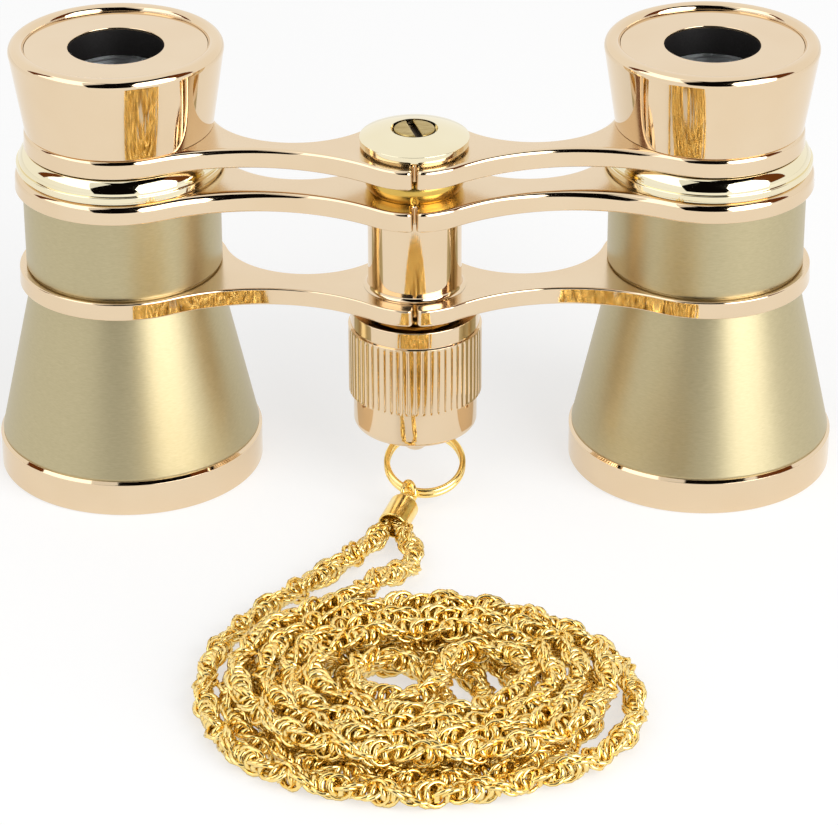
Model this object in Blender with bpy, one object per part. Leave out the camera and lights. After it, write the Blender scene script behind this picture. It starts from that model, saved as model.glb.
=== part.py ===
"""Opera glasses with a centre-knob focus and a rope chain, standing on their objective rims.

Driving dimensions are in millimetres. MM turns them into metres where meshes and curves are made.
X runs from the left barrel to the right one, -Y faces the viewer, and Z is up along the barrels.
The origin is on the floor, midway between the two barrel axes.
"""

import math

import bmesh
import bpy
import numpy as np
from mathutils import Vector

MM = 0.001
FIT = 0.3
WELD = 1e-7
CUT_MARGIN = 1.0
DOME_AT_HALF = 0.75
SHARP_ANGLE = math.radians(40)

# Barrels
BARREL_SPACING = 62.0
BARREL_SIDES = 24
INNER_SIDES = 16

RIM_RADIUS = 14.24
RIM_HEIGHT = 3.9
RIM_EDGE = 0.4
RIM_LIP_RADIUS = 12.3
RIM_LIP_HEIGHT = 1.0
RIM_THREAD_RADIUS = 13.3

CONE_FOOT_RADIUS = 13.93
CONE_TOP_RADIUS = 10.05
CONE_THREAD_RADIUS = 13.0
CONE_WALL = 0.55
LENS_SEAT_RADIUS = 12.5
LENS_STEP_RADIUS = 11.8
LENS_STEP_HEIGHT = 5.7

OBJECTIVE_RADIUS = 12.2
OBJECTIVE_EDGE_BOTTOM = 3.2
OBJECTIVE_EDGE_TOP = 5.4
OBJECTIVE_CROWN = 0.6
RETAINER_BORE = 11.4
RETAINER_HEIGHT = 1.2

SLEEVE_RADIUS = 10.45
SPIGOT_RADIUS = 9.25
SLEEVE_BORE = 8.75
SPIGOT_DEPTH = 4.0
SPIGOT_TOP = 36.2

FELT_OUTER = 8.5
FELT_BORE = 8.15
FELT_BOTTOM = 28.0

COLLAR_RADIUS = 10.9
COLLAR_LIP = 0.7
COLLAR_TOP_RADIUS = 9.95
COLLAR_ARC_STEPS = 4

# Bridge plates: bottom and top heights, and the radii of their outline's arcs
LOWER_PLATE = (21.65, 23.55)
MIDDLE_PLATE = (32.6, 34.7)
TOP_PLATE = (37.25, 39.3)
LOWER_ARCS = {"ring": 11.26, "boss": 7.1, "front": 19.2, "back": 9.0}
MIDDLE_ARCS = {"ring": 11.26, "boss": 7.15, "front": 20.75, "back": 8.8}
TOP_ARCS = {"ring": 10.1, "boss": 7.0, "front": 21.5, "back": 9.0}
PLATE_EDGE = 0.45
RING_ARC_STEPS = 16
WAIST_ARC_STEPS = 8
BOSS_ARC_STEPS = 4
NOTCH_WIDTH = 0.7
NOTCH_DEPTH = 0.6

# Centre axis, in front of the barrel axes
CENTRE_Y = -6.0
CENTRE_SIDES = 24
ROD_RADIUS = 1.7
ROD_BOTTOM = 11.3
ROD_THREAD_RADIUS = 1.25
ROD_THREAD_BOTTOM = 33.0
COLUMN_RADIUS = 4.94
COLUMN_FOOT_RADIUS = 5.2
COLUMN_FOOT_HEIGHT = 0.5
COLUMN_POCKET_RADIUS = 4.2
COLUMN_POCKET_TOP = 28.5
BUSH_RADIUS = 5.2
BUSH_EDGE = 0.5
NUT_RADIUS = 3.4
NUT_BOTTOM = 15.1
NUT_TOP = 27.8
CLIP_RADIUS = 3.95
CLIP_GROOVE_RADIUS = 2.7
CLIP_THICKNESS = 0.6
WASHER_RADIUS = 5.0
WASHER_THICKNESS = 0.3
CAP_HUB_RADIUS = 4.9
CAP_RADIUS = 5.7
CAP_EDGE_BOTTOM = 39.65
CAP_EDGE_TOP = 40.35
CAP_TOP = 41.25
CAP_POCKET_RADIUS = 2.4
CAP_POCKET_FLOOR = 40.25
CAP_ARC_STEPS = 4
SCREW_HEAD_RADIUS = 2.15
SCREW_TOP = 41.3
SCREW_EDGE_HEIGHT = 0.25
SCREW_EDGE_WIDTH = 0.4
SCREW_SHANK_RADIUS = 0.95
SCREW_BOTTOM = 33.4
SCREW_SLOT_WIDTH = 0.65
SCREW_SLOT_DEPTH = 0.45
SCREW_SLOT_ANGLE = math.radians(104)

# Focus knob
KNOB_RADIUS = 7.1
KNOB_BOTTOM = 7.0
KNOB_TOP = 20.75
KNOB_FOOT_RADIUS = 6.6
KNOB_FOOT_ROUND = 0.9
KNOB_HEAD_RADIUS = 6.85
KNOB_EDGE = 0.35
FLUTES = 54
FLUTE_BOTTOM = 11.15
FLUTE_TOP = 18.9
FLUTE_DEPTH = 0.3
KNOB_BORE = 2.1
KNOB_FLOOR_TOP = 9.3
STUD_HOLE_RADIUS = 0.95

# Eyepieces
CUP_FOOT_RADIUS = 9.95
CUP_RIM_RADIUS = 11.25
CUP_TOP = 48.6
CUP_RIM_ROUND = 0.8
CUP_INNER_ROUND = 0.6
CUP_RIM_STEPS = 3
CUP_BORE = 8.2
CUP_POCKET_RADIUS = 9.6
CUP_POCKET_FLOOR = 46.0
INSERT_RADIUS = 9.3
INSERT_TOP = 48.05
INSERT_THICKNESS = 1.75
EYE_HOLE_RADIUS = 5.0
DRAW_TUBE_RADIUS = 7.9
DRAW_TUBE_BORE = 7.4
DRAW_TUBE_BOTTOM = 18.0
DRAW_TUBE_TOP = 40.9
CELL_RADIUS = 7.9
CELL_BOTTOM = 41.2
CELL_TOP = 46.0
CELL_LENS_BORE = 6.8
CELL_LENS_TOP = 44.9
EYE_LENS_RADIUS = 6.5
EYE_LENS_BOTTOM = 42.7
EYE_LENS_TOP = 44.6
EYE_LENS_HOLLOW = 0.6
EYE_RING_BORE = 5.3
EYE_RING_THICKNESS = 0.9

# Chain stud, split ring and ferrule
STUD_EYE_RADIUS = 1.55
STUD_EYE_HEIGHT = 5.2
STUD_EYE_STEPS = 8
STUD_NECK_RADIUS = 0.6
STUD_HEAD_RADIUS = 1.6
STUD_HEAD_THICKNESS = 0.6
STUD_EYE_HOLE = 1.05
RING_RADIUS = 4.05
RING_WIRE = 0.6
RING_TURN_STEP = 0.66
RING_TILT = math.radians(24.5)
RING_OFFSET_X = 1.0
RING_RISE = 0.26
RING_POINTS_PER_TURN = 24
RING_RAMP = 0.5
RING_ROUNDNESS = 1
FERRULE_END = (-1.1, -15.85, 2.2)
FERRULE_MOUTH = (-2.45, -19.5, 1.65)
FERRULE_RADIUS = 1.6
FERRULE_BORE = 1.2
FERRULE_POCKET = 2.8
FERRULE_NECK_RADIUS = 0.45
FERRULE_NECK_LENGTH = 1.65
LOOP_RADIUS = 1.3
LOOP_WIRE_RADIUS = 0.22
LOOP_WIRE_SIDES = 6
LOOP_CENTRE = (-0.7, -13.0, 2.1)

# Rope chain: the coil's ovals, as half length and half width
CHAIN_DIAMETER = 2.0
COIL_CENTRE = (1.26, -52.5)
COIL_BOTTOM_HEIGHT = 1.0
COIL_LAYER_STEP = 2.45
COIL_BOTTOM_OUTER = (22.1, 18.0)
COIL_TOP_OUTER = (19.0, 15.4)
COIL_TOP_INNER_WIDTH = 6.8
COIL_EYE_RADIUS = 4.25
COIL_TURN_BACK_X = 1.1
COIL_START_ANGLE = math.radians(172)
COIL_NARROW_ANGLE = math.radians(2205)
COIL_CLIMB_ANGLES = (math.radians(2169), math.radians(2322))
COIL_TURN_BACK_ANGLE = math.radians(2520)
COIL_END_ANGLE = math.radians(123)
COIL_TOP_TURNS = 3
POINTS_PER_LOOP = 24
LEAD_POINT_SPACING = 2.5 * CHAIN_DIAMETER
COIL_ROUNDNESS = 1
LEAD_ROUNDNESS = 2
ROUTE_SAMPLES = 12
GAP_SAMPLES = 4
NEIGHBOUR_REACH = 3 * CHAIN_DIAMETER
LEFT_LEAD_ROUTE = (
    (-3.75, -20.7, 1.3),
    (-5.15, -22.9, 1.1),
    (-7.3, -25.9, 1.0),
    (-11.0, -31.2, 1.0),
    (-14.4, -35.0, 1.0),
    (-17.4, -39.6, 1.0),
    (-19.5, -44.2, 1.0),
)
RIGHT_LEAD_ROUTE = (
    (-1.15, -21.2, 1.5),
    (-0.55, -23.3, 1.1),
    (-0.5, -25.5, 1.0),
    (-1.2, -28.4, 1.3),
    (-2.8, -31.8, 2.5),
    (-4.4, -35.1, 3.4),
    (-5.8, -38.3, 3.5),
)

# Colours as linear RGB, then metallic and roughness
FINISHES = {
    "rose_gold": ((0.80, 0.60, 0.45), 1.0, 0.12),
    "champagne_satin": ((0.46, 0.39, 0.23), 0.8, 0.35),
    "yellow_gold": ((0.80, 0.72, 0.42), 1.0, 0.12),
    "antique_brass": ((0.42, 0.31, 0.12), 1.0, 0.35),
    "gold_chain": ((0.72, 0.42, 0.06), 1.0, 0.2),
    "black_paint": ((0.01, 0.01, 0.01), 0.0, 0.5),
    "lens_glass": ((0.75, 0.80, 0.82), 0.0, 0.03),
    "black_felt": ((0.02, 0.02, 0.02), 0.0, 0.9),
    "turned_brass": ((0.55, 0.42, 0.16), 1.0, 0.3),
}


def clear_scene():
    for obj in list(bpy.data.objects):
        bpy.data.objects.remove(obj, do_unlink=True)


def make_material(name):
    """A Principled material in one of the named finishes."""
    colour, metallic, roughness = FINISHES[name]
    material = bpy.data.materials.new(name)
    material.use_nodes = True
    shader = material.node_tree.nodes["Principled BSDF"]
    shader.inputs["Base Color"].default_value = (*colour, 1.0)
    shader.inputs["Metallic"].default_value = metallic
    shader.inputs["Roughness"].default_value = roughness
    material.diffuse_color = (*colour, 1.0)
    return material


def make_pivot(name, x=0.0, y=0.0):
    """An empty on a vertical axis, which carries the pieces of one moving group."""
    pivot = bpy.data.objects.new(name, None)
    pivot.location = (x * MM, y * MM, 0)
    bpy.context.scene.collection.objects.link(pivot)
    return pivot


def add_object(name, data, finish, pivot, place=(0, 0, 0), turn=(0, 0, 0)):
    """An object at a world place in millimetres, carried by its group's pivot."""
    obj = bpy.data.objects.new(name, data)
    bpy.context.scene.collection.objects.link(obj)
    data.materials.append(MATERIALS[finish])
    obj.parent = pivot
    obj.location = Vector(place) * MM - pivot.location
    obj.rotation_euler = turn
    return obj


def mesh_from(bm, name):
    """Closes a bmesh into a mesh that is smooth but for its sharp edges."""
    bmesh.ops.remove_doubles(bm, verts=bm.verts, dist=WELD)
    bmesh.ops.recalc_face_normals(bm, faces=bm.faces)
    mesh = bpy.data.meshes.new(name)
    bm.to_mesh(mesh)
    bm.free()
    mesh.shade_smooth()
    mesh.set_sharp_from_angle(angle=SHARP_ANGLE)
    return mesh


def turned_mesh(name, profile, sides):
    """The closed (radius, height) profile spun about Z. An edge that lies on the axis is left out."""
    bm = bmesh.new()
    points = [bm.verts.new((radius * MM, 0, height * MM)) for radius, height in profile]
    edges = []
    for first, second in zip(points, points[1:] + points[:1]):
        if first.co.x > 0 or second.co.x > 0:
            edges.append(bm.edges.new((first, second)))
    bmesh.ops.spin(
        bm,
        geom=points + edges,
        cent=(0, 0, 0),
        axis=(0, 0, 1),
        angle=2 * math.pi,
        steps=sides,
        use_merge=True,
    )
    return mesh_from(bm, name)


def arc(centre, radius, start, end, steps, rise=None):
    """Points of an arc from one angle to another, in degrees, both ends included. A rise makes it oval."""
    rise = radius if rise is None else rise
    angles = np.radians(np.linspace(start, end, steps + 1))
    return [(centre[0] + radius * math.cos(a), centre[1] + rise * math.sin(a)) for a in angles]


def tube_profile(inner, outer, bottom, top):
    return [(inner, bottom), (outer, bottom), (outer, top), (inner, top)]


def rod_profile(radius, bottom, top):
    return [(0, bottom), (radius, bottom), (radius, top), (0, top)]


def make_cutter(name, mesh, place=(0, 0, 0), turn=(0, 0, 0)):
    cutter = bpy.data.objects.new(name, mesh)
    bpy.context.scene.collection.objects.link(cutter)
    cutter.location = Vector(place) * MM
    cutter.rotation_euler = turn
    cutter.hide_render = True
    cutter.display_type = "WIRE"
    return cutter


def add_boolean(obj, other, operation="DIFFERENCE"):
    modifier = obj.modifiers.new(other.name, "BOOLEAN")
    modifier.operation = operation
    modifier.object = other


def box_mesh(name, low, high):
    """A box between two corners, in millimetres."""
    bm = bmesh.new()
    bmesh.ops.create_cube(bm, size=1.0)
    for vert in bm.verts:
        for axis in range(3):
            share = vert.co[axis] + 0.5
            vert.co[axis] = (low[axis] + share * (high[axis] - low[axis])) * MM
    return mesh_from(bm, name)


def prism_mesh(name, outline, bottom, top, edge=0.0):
    """An outline raised from bottom to top, its upper edge eased in by edge."""
    loops = [(outline, bottom), (outline, top - edge)]
    if edge:
        loops.append((inset_outline(outline, edge), top))
    bm = bmesh.new()
    rows = []
    for points, height in loops:
        rows.append([bm.verts.new((x * MM, y * MM, height * MM)) for x, y in points])
    count = len(outline)
    for lower, upper in zip(rows, rows[1:]):
        for i in range(count):
            j = (i + 1) % count
            bm.faces.new((lower[i], lower[j], upper[j], upper[i]))
    bm.faces.new(rows[0][::-1])
    bm.faces.new(rows[-1])
    return mesh_from(bm, name)


def inset_outline(outline, distance):
    """A counter-clockwise outline moved inwards along the normals at its points."""
    points = np.array(outline)
    along = np.roll(points, -1, axis=0) - np.roll(points, 1, axis=0)
    normal = np.stack([-along[:, 1], along[:, 0]], axis=1)
    normal /= np.linalg.norm(normal, axis=1)[:, None]
    return [tuple(p) for p in points + distance * normal]


def waist_centre(arcs, waist, side):
    """Centre of the hollow arc that touches the centre boss and the right barrel's ring."""
    boss = np.array([0.0, CENTRE_Y])
    ring = np.array([BARREL_SPACING / 2, 0.0])
    span = np.linalg.norm(ring - boss)
    along = (ring - boss) / span
    across = np.array([-along[1], along[0]])
    to_boss = arcs["boss"] + arcs[waist]
    to_ring = arcs["ring"] + arcs[waist]
    reach = (to_boss**2 - to_ring**2 + span**2) / (2 * span)
    return boss + reach * along + side * math.sqrt(to_boss**2 - reach**2) * across


def heading(start, end):
    """Direction from one point to another, in degrees."""
    return math.degrees(math.atan2(end[1] - start[1], end[0] - start[0]))


def plate_outline(arcs):
    """Counter-clockwise outline: boss, hollow waists and barrel rings, joined as tangent arcs."""
    boss = (0.0, CENTRE_Y)
    ring = (BARREL_SPACING / 2, 0.0)
    front = waist_centre(arcs, "front", -1)
    back = waist_centre(arcs, "back", 1)
    right = arc(boss, arcs["boss"], -90, heading(boss, front), BOSS_ARC_STEPS)
    right += arc(front, arcs["front"], heading(front, boss), heading(front, ring), WAIST_ARC_STEPS)[1:]
    ring_start = heading(ring, front)
    ring_end = heading(ring, back)
    right += arc(ring, arcs["ring"], ring_start, ring_end, RING_ARC_STEPS)[1:]
    back_start = heading(back, ring) % 360
    back_end = heading(back, boss) % 360
    right += arc(back, arcs["back"], back_start, back_end, WAIST_ARC_STEPS)[1:]
    right += arc(boss, arcs["boss"], heading(boss, back), 90, BOSS_ARC_STEPS)[1:]
    left = [(-x, y) for x, y in right[-2:0:-1]]
    return right + left


def add_plate(name, heights, arcs, pivot, barrel_hole, centre_hole):
    """A bridge plate with its barrel holes, centre hole and the small notch at the front of its boss."""
    bottom, top = heights
    plate = add_object(
        name,
        prism_mesh(name, plate_outline(arcs), bottom, top, PLATE_EDGE),
        "rose_gold",
        pivot,
    )
    low, high = bottom - CUT_MARGIN, top + CUT_MARGIN
    for side, x in (("left", -BARREL_SPACING / 2), ("right", BARREL_SPACING / 2)):
        hole = turned_mesh("hole", rod_profile(barrel_hole, low, high), INNER_SIDES)
        add_boolean(plate, make_cutter(f"{name}_{side}_hole", hole, (x, 0, 0)))
    hole = turned_mesh("hole", rod_profile(centre_hole, low, high), INNER_SIDES)
    add_boolean(plate, make_cutter(f"{name}_centre_hole", hole, (0, CENTRE_Y, 0)))
    front = CENTRE_Y - arcs["boss"]
    notch = [(NOTCH_WIDTH, front - NOTCH_DEPTH), (0, front + NOTCH_DEPTH), (-NOTCH_WIDTH, front - NOTCH_DEPTH)]
    add_boolean(plate, make_cutter(f"{name}_notch", prism_mesh("notch", notch, low, high)))


def add_barrel(side, x, pivot):
    """The fixed parts of one barrel, from the rim on the floor to the collar over the middle plate."""
    place = (x, 0, 0)
    rim = [
        (RIM_LIP_RADIUS, 0),
        (RIM_RADIUS - RIM_EDGE, 0),
        (RIM_RADIUS, RIM_EDGE),
        (RIM_RADIUS, RIM_HEIGHT - RIM_EDGE),
        (RIM_RADIUS - RIM_EDGE, RIM_HEIGHT),
        (RIM_THREAD_RADIUS, RIM_HEIGHT),
        (RIM_THREAD_RADIUS, RIM_LIP_HEIGHT),
        (RIM_LIP_RADIUS, RIM_LIP_HEIGHT),
    ]
    name = f"{side}_objective_rim"
    add_object(name, turned_mesh(name, rim, BARREL_SIDES), "rose_gold", pivot, place)

    cone_foot = RIM_HEIGHT + FIT
    cone_top = LOWER_PLATE[0] - FIT
    thread_foot = RIM_LIP_HEIGHT + FIT
    cone = [
        (LENS_SEAT_RADIUS, thread_foot),
        (CONE_THREAD_RADIUS, thread_foot),
        (CONE_THREAD_RADIUS, cone_foot),
        (CONE_FOOT_RADIUS, cone_foot),
        (CONE_TOP_RADIUS, cone_top),
        (CONE_TOP_RADIUS - CONE_WALL, cone_top),
        (CONE_TOP_RADIUS - CONE_WALL, cone_top - SPIGOT_DEPTH),
        (LENS_STEP_RADIUS, LENS_STEP_HEIGHT),
        (LENS_SEAT_RADIUS, LENS_STEP_HEIGHT),
    ]
    name = f"{side}_objective_cone"
    add_object(name, turned_mesh(name, cone, BARREL_SIDES), "champagne_satin", pivot, place)

    lens = [
        (0, OBJECTIVE_EDGE_BOTTOM - OBJECTIVE_CROWN),
        (OBJECTIVE_RADIUS / 2, OBJECTIVE_EDGE_BOTTOM - DOME_AT_HALF * OBJECTIVE_CROWN),
        (OBJECTIVE_RADIUS, OBJECTIVE_EDGE_BOTTOM),
        (OBJECTIVE_RADIUS, OBJECTIVE_EDGE_TOP),
        (LENS_STEP_RADIUS - FIT, OBJECTIVE_EDGE_TOP),
        (OBJECTIVE_RADIUS / 2, OBJECTIVE_EDGE_TOP + DOME_AT_HALF * OBJECTIVE_CROWN),
        (0, OBJECTIVE_EDGE_TOP + OBJECTIVE_CROWN),
    ]
    name = f"{side}_objective_lens"
    add_object(name, turned_mesh(name, lens, INNER_SIDES), "lens_glass", pivot, place)

    retainer_foot = thread_foot + FIT
    retainer = tube_profile(RETAINER_BORE, OBJECTIVE_RADIUS, retainer_foot, retainer_foot + RETAINER_HEIGHT)
    name = f"{side}_objective_retainer"
    add_object(name, turned_mesh(name, retainer, INNER_SIDES), "black_paint", pivot, place)

    sleeve_foot = LOWER_PLATE[1] + FIT
    sleeve_top = MIDDLE_PLATE[0] - FIT
    spigot_bore = CONE_TOP_RADIUS - CONE_WALL
    sleeve = [
        (SLEEVE_BORE, cone_top - SPIGOT_DEPTH + FIT),
        (SPIGOT_RADIUS, cone_top - SPIGOT_DEPTH + FIT),
        (SPIGOT_RADIUS, sleeve_foot),
        (SLEEVE_RADIUS, sleeve_foot),
        (SLEEVE_RADIUS, sleeve_top),
        (SPIGOT_RADIUS, sleeve_top),
        (SPIGOT_RADIUS, SPIGOT_TOP),
        (SLEEVE_BORE, SPIGOT_TOP),
    ]
    name = f"{side}_upper_sleeve"
    add_object(name, turned_mesh(name, sleeve, BARREL_SIDES), "champagne_satin", pivot, place)

    collar_foot = MIDDLE_PLATE[1] + FIT
    collar_top = TOP_PLATE[0] - FIT
    bulge_foot = collar_foot + COLLAR_LIP
    bulge = (COLLAR_RADIUS - COLLAR_TOP_RADIUS, 0, 90, COLLAR_ARC_STEPS, collar_top - bulge_foot)
    collar = [(spigot_bore, collar_foot), (COLLAR_RADIUS, collar_foot)]
    collar += arc((COLLAR_TOP_RADIUS, bulge_foot), *bulge)
    collar.append((spigot_bore, collar_top))
    name = f"{side}_guide_collar"
    add_object(name, turned_mesh(name, collar, BARREL_SIDES), "yellow_gold", pivot, place)

    felt = tube_profile(FELT_BORE, FELT_OUTER, FELT_BOTTOM, SPIGOT_TOP)
    name = f"{side}_felt_bush"
    add_object(name, turned_mesh(name, felt, BARREL_SIDES), "black_felt", pivot, place)


def add_eyepiece(side, x, pivot):
    """The parts of one eyepiece, which slide with the top plate."""
    place = (x, 0, 0)
    cup_foot = TOP_PLATE[1] + FIT
    round_centre = (CUP_RIM_RADIUS - CUP_RIM_ROUND, CUP_TOP - CUP_RIM_ROUND)
    cup = [(CUP_BORE, cup_foot), (CUP_FOOT_RADIUS, cup_foot)]
    cup += arc(round_centre, CUP_RIM_ROUND, 0, 90, CUP_RIM_STEPS)
    inner_centre = (CUP_POCKET_RADIUS + CUP_INNER_ROUND, CUP_TOP - CUP_INNER_ROUND)
    cup += arc(inner_centre, CUP_INNER_ROUND, 90, 180, CUP_RIM_STEPS)
    cup += [
        (CUP_POCKET_RADIUS, CUP_POCKET_FLOOR),
        (CUP_BORE, CUP_POCKET_FLOOR),
    ]
    name = f"{side}_eyepiece_cup"
    add_object(name, turned_mesh(name, cup, BARREL_SIDES), "rose_gold", pivot, place)

    insert = tube_profile(EYE_HOLE_RADIUS, INSERT_RADIUS, INSERT_TOP - INSERT_THICKNESS, INSERT_TOP)
    name = f"{side}_eyepiece_insert"
    add_object(name, turned_mesh(name, insert, BARREL_SIDES), "rose_gold", pivot, place)

    tube = tube_profile(DRAW_TUBE_BORE, DRAW_TUBE_RADIUS, DRAW_TUBE_BOTTOM, DRAW_TUBE_TOP)
    name = f"{side}_draw_tube"
    add_object(name, turned_mesh(name, tube, BARREL_SIDES), "turned_brass", pivot, place)

    cell = [
        (CELL_LENS_BORE, CELL_BOTTOM),
        (CELL_RADIUS, CELL_BOTTOM),
        (CELL_RADIUS, CELL_TOP),
        (EYE_HOLE_RADIUS, CELL_TOP),
        (EYE_HOLE_RADIUS, CELL_LENS_TOP),
        (CELL_LENS_BORE, CELL_LENS_TOP),
    ]
    name = f"{side}_lens_cell"
    add_object(name, turned_mesh(name, cell, INNER_SIDES), "black_paint", pivot, place)

    lens = [
        (0, EYE_LENS_BOTTOM),
        (EYE_LENS_RADIUS, EYE_LENS_BOTTOM),
        (EYE_LENS_RADIUS, EYE_LENS_TOP),
        (EYE_HOLE_RADIUS, EYE_LENS_TOP),
        (EYE_HOLE_RADIUS / 2, EYE_LENS_TOP - DOME_AT_HALF * EYE_LENS_HOLLOW),
        (0, EYE_LENS_TOP - EYE_LENS_HOLLOW),
    ]
    name = f"{side}_eye_lens"
    add_object(name, turned_mesh(name, lens, INNER_SIDES), "lens_glass", pivot, place)

    ring_top = EYE_LENS_BOTTOM - FIT
    ring = tube_profile(EYE_RING_BORE, EYE_LENS_RADIUS, ring_top - EYE_RING_THICKNESS, ring_top)
    name = f"{side}_eye_lens_ring"
    add_object(name, turned_mesh(name, ring, INNER_SIDES), "black_paint", pivot, place)


def add_centre(pivot):
    """The fixed pieces on the centre axis: column, bush and thrust washer."""
    place = (0, CENTRE_Y, 0)
    rod_hole = ROD_RADIUS + FIT
    foot = LOWER_PLATE[1] + FIT
    top = MIDDLE_PLATE[0] - FIT
    column = [
        (COLUMN_POCKET_RADIUS, foot),
        (COLUMN_FOOT_RADIUS, foot),
        (COLUMN_RADIUS, foot + COLUMN_FOOT_HEIGHT),
        (COLUMN_RADIUS, top),
        (rod_hole, top),
        (rod_hole, COLUMN_POCKET_TOP),
        (COLUMN_POCKET_RADIUS, COLUMN_POCKET_TOP),
    ]
    mesh = turned_mesh("centre_column", column, CENTRE_SIDES)
    add_object("centre_column", mesh, "rose_gold", pivot, place)

    foot = MIDDLE_PLATE[1] + FIT
    top = TOP_PLATE[0] - FIT
    bush = [
        (rod_hole, foot),
        (BUSH_RADIUS - BUSH_EDGE, foot),
        (BUSH_RADIUS, foot + BUSH_EDGE),
        (BUSH_RADIUS, top - BUSH_EDGE),
        (BUSH_RADIUS - BUSH_EDGE, top),
        (rod_hole, top),
    ]
    add_object("centre_bush", turned_mesh("centre_bush", bush, CENTRE_SIDES), "yellow_gold", pivot, place)

    top = LOWER_PLATE[0] - FIT
    washer = tube_profile(NUT_RADIUS + FIT, WASHER_RADIUS, top - WASHER_THICKNESS, top)
    add_object("thrust_washer", turned_mesh("thrust_washer", washer, INNER_SIDES), "turned_brass", pivot, place)


def add_bridge_fittings(pivot):
    """The cap, its screw and the focus rod, which ride on the top plate."""
    place = (0, CENTRE_Y, 0)
    hub_foot = TOP_PLATE[1] + FIT
    dome_start = (CAP_POCKET_RADIUS, CAP_EDGE_TOP)
    dome = (CAP_RADIUS - CAP_POCKET_RADIUS, 0, 90, CAP_ARC_STEPS, CAP_TOP - CAP_EDGE_TOP)
    cap = [
        (SCREW_SHANK_RADIUS + FIT, hub_foot),
        (CAP_HUB_RADIUS, hub_foot),
        (CAP_RADIUS, CAP_EDGE_BOTTOM),
    ]
    cap += arc(dome_start, *dome)
    cap += [
        (CAP_POCKET_RADIUS, CAP_POCKET_FLOOR),
        (SCREW_SHANK_RADIUS + FIT, CAP_POCKET_FLOOR),
    ]
    add_object("bridge_cap", turned_mesh("bridge_cap", cap, CENTRE_SIDES), "yellow_gold", pivot, place)

    head_foot = CAP_POCKET_FLOOR + FIT
    screw = [
        (0, SCREW_BOTTOM),
        (SCREW_SHANK_RADIUS, SCREW_BOTTOM),
        (SCREW_SHANK_RADIUS, head_foot),
        (SCREW_HEAD_RADIUS, head_foot),
        (SCREW_HEAD_RADIUS, SCREW_TOP - SCREW_EDGE_HEIGHT),
        (SCREW_HEAD_RADIUS - SCREW_EDGE_WIDTH, SCREW_TOP),
        (0, SCREW_TOP),
    ]
    head = add_object("cap_screw", turned_mesh("cap_screw", screw, INNER_SIDES), "antique_brass", pivot, place)
    reach = SCREW_HEAD_RADIUS + CUT_MARGIN
    half = SCREW_SLOT_WIDTH / 2
    slot_low = (-reach, -half, SCREW_TOP - SCREW_SLOT_DEPTH)
    slot = box_mesh("slot", slot_low, (reach, half, SCREW_TOP + CUT_MARGIN))
    add_boolean(head, make_cutter("screw_slot", slot, place, (0, 0, SCREW_SLOT_ANGLE)))

    top = TOP_PLATE[1] - FIT
    rod = [
        (0, ROD_BOTTOM),
        (ROD_RADIUS, ROD_BOTTOM),
        (ROD_RADIUS, top),
        (ROD_THREAD_RADIUS, top),
        (ROD_THREAD_RADIUS, ROD_THREAD_BOTTOM),
        (0, ROD_THREAD_BOTTOM),
    ]
    add_object("focus_rod", turned_mesh("focus_rod", rod, INNER_SIDES), "turned_brass", pivot, place)


def fluted_mesh(name):
    """The knob's outside: rows of points whose radius dips at every other point along the fluted band."""
    count = 2 * FLUTES
    rows = [
        (KNOB_FOOT_RADIUS - KNOB_FOOT_ROUND, KNOB_BOTTOM, 0),
        (KNOB_FOOT_RADIUS, KNOB_BOTTOM + KNOB_FOOT_ROUND, 0),
        (KNOB_FOOT_RADIUS, FLUTE_BOTTOM, 0),
        (KNOB_RADIUS, FLUTE_BOTTOM + KNOB_EDGE, FLUTE_DEPTH),
        (KNOB_RADIUS, FLUTE_TOP - KNOB_EDGE, FLUTE_DEPTH),
        (KNOB_RADIUS, FLUTE_TOP, 0),
        (KNOB_HEAD_RADIUS, FLUTE_TOP + KNOB_EDGE, 0),
        (KNOB_HEAD_RADIUS, KNOB_TOP, 0),
    ]
    angles = np.arange(count) * 2 * math.pi / count
    bm = bmesh.new()
    rings = []
    for radius, height, depth in rows:
        radii = radius - depth * (np.arange(count) % 2)
        xs = radii * np.cos(angles) * MM
        ys = radii * np.sin(angles) * MM
        rings.append([bm.verts.new((x, y, height * MM)) for x, y in zip(xs, ys)])
    for lower, upper in zip(rings, rings[1:]):
        for i in range(count):
            j = (i + 1) % count
            bm.faces.new((lower[i], lower[j], upper[j], upper[i]))
    bm.faces.new(rings[0][::-1])
    bm.faces.new(rings[-1])
    return mesh_from(bm, name)


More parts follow.
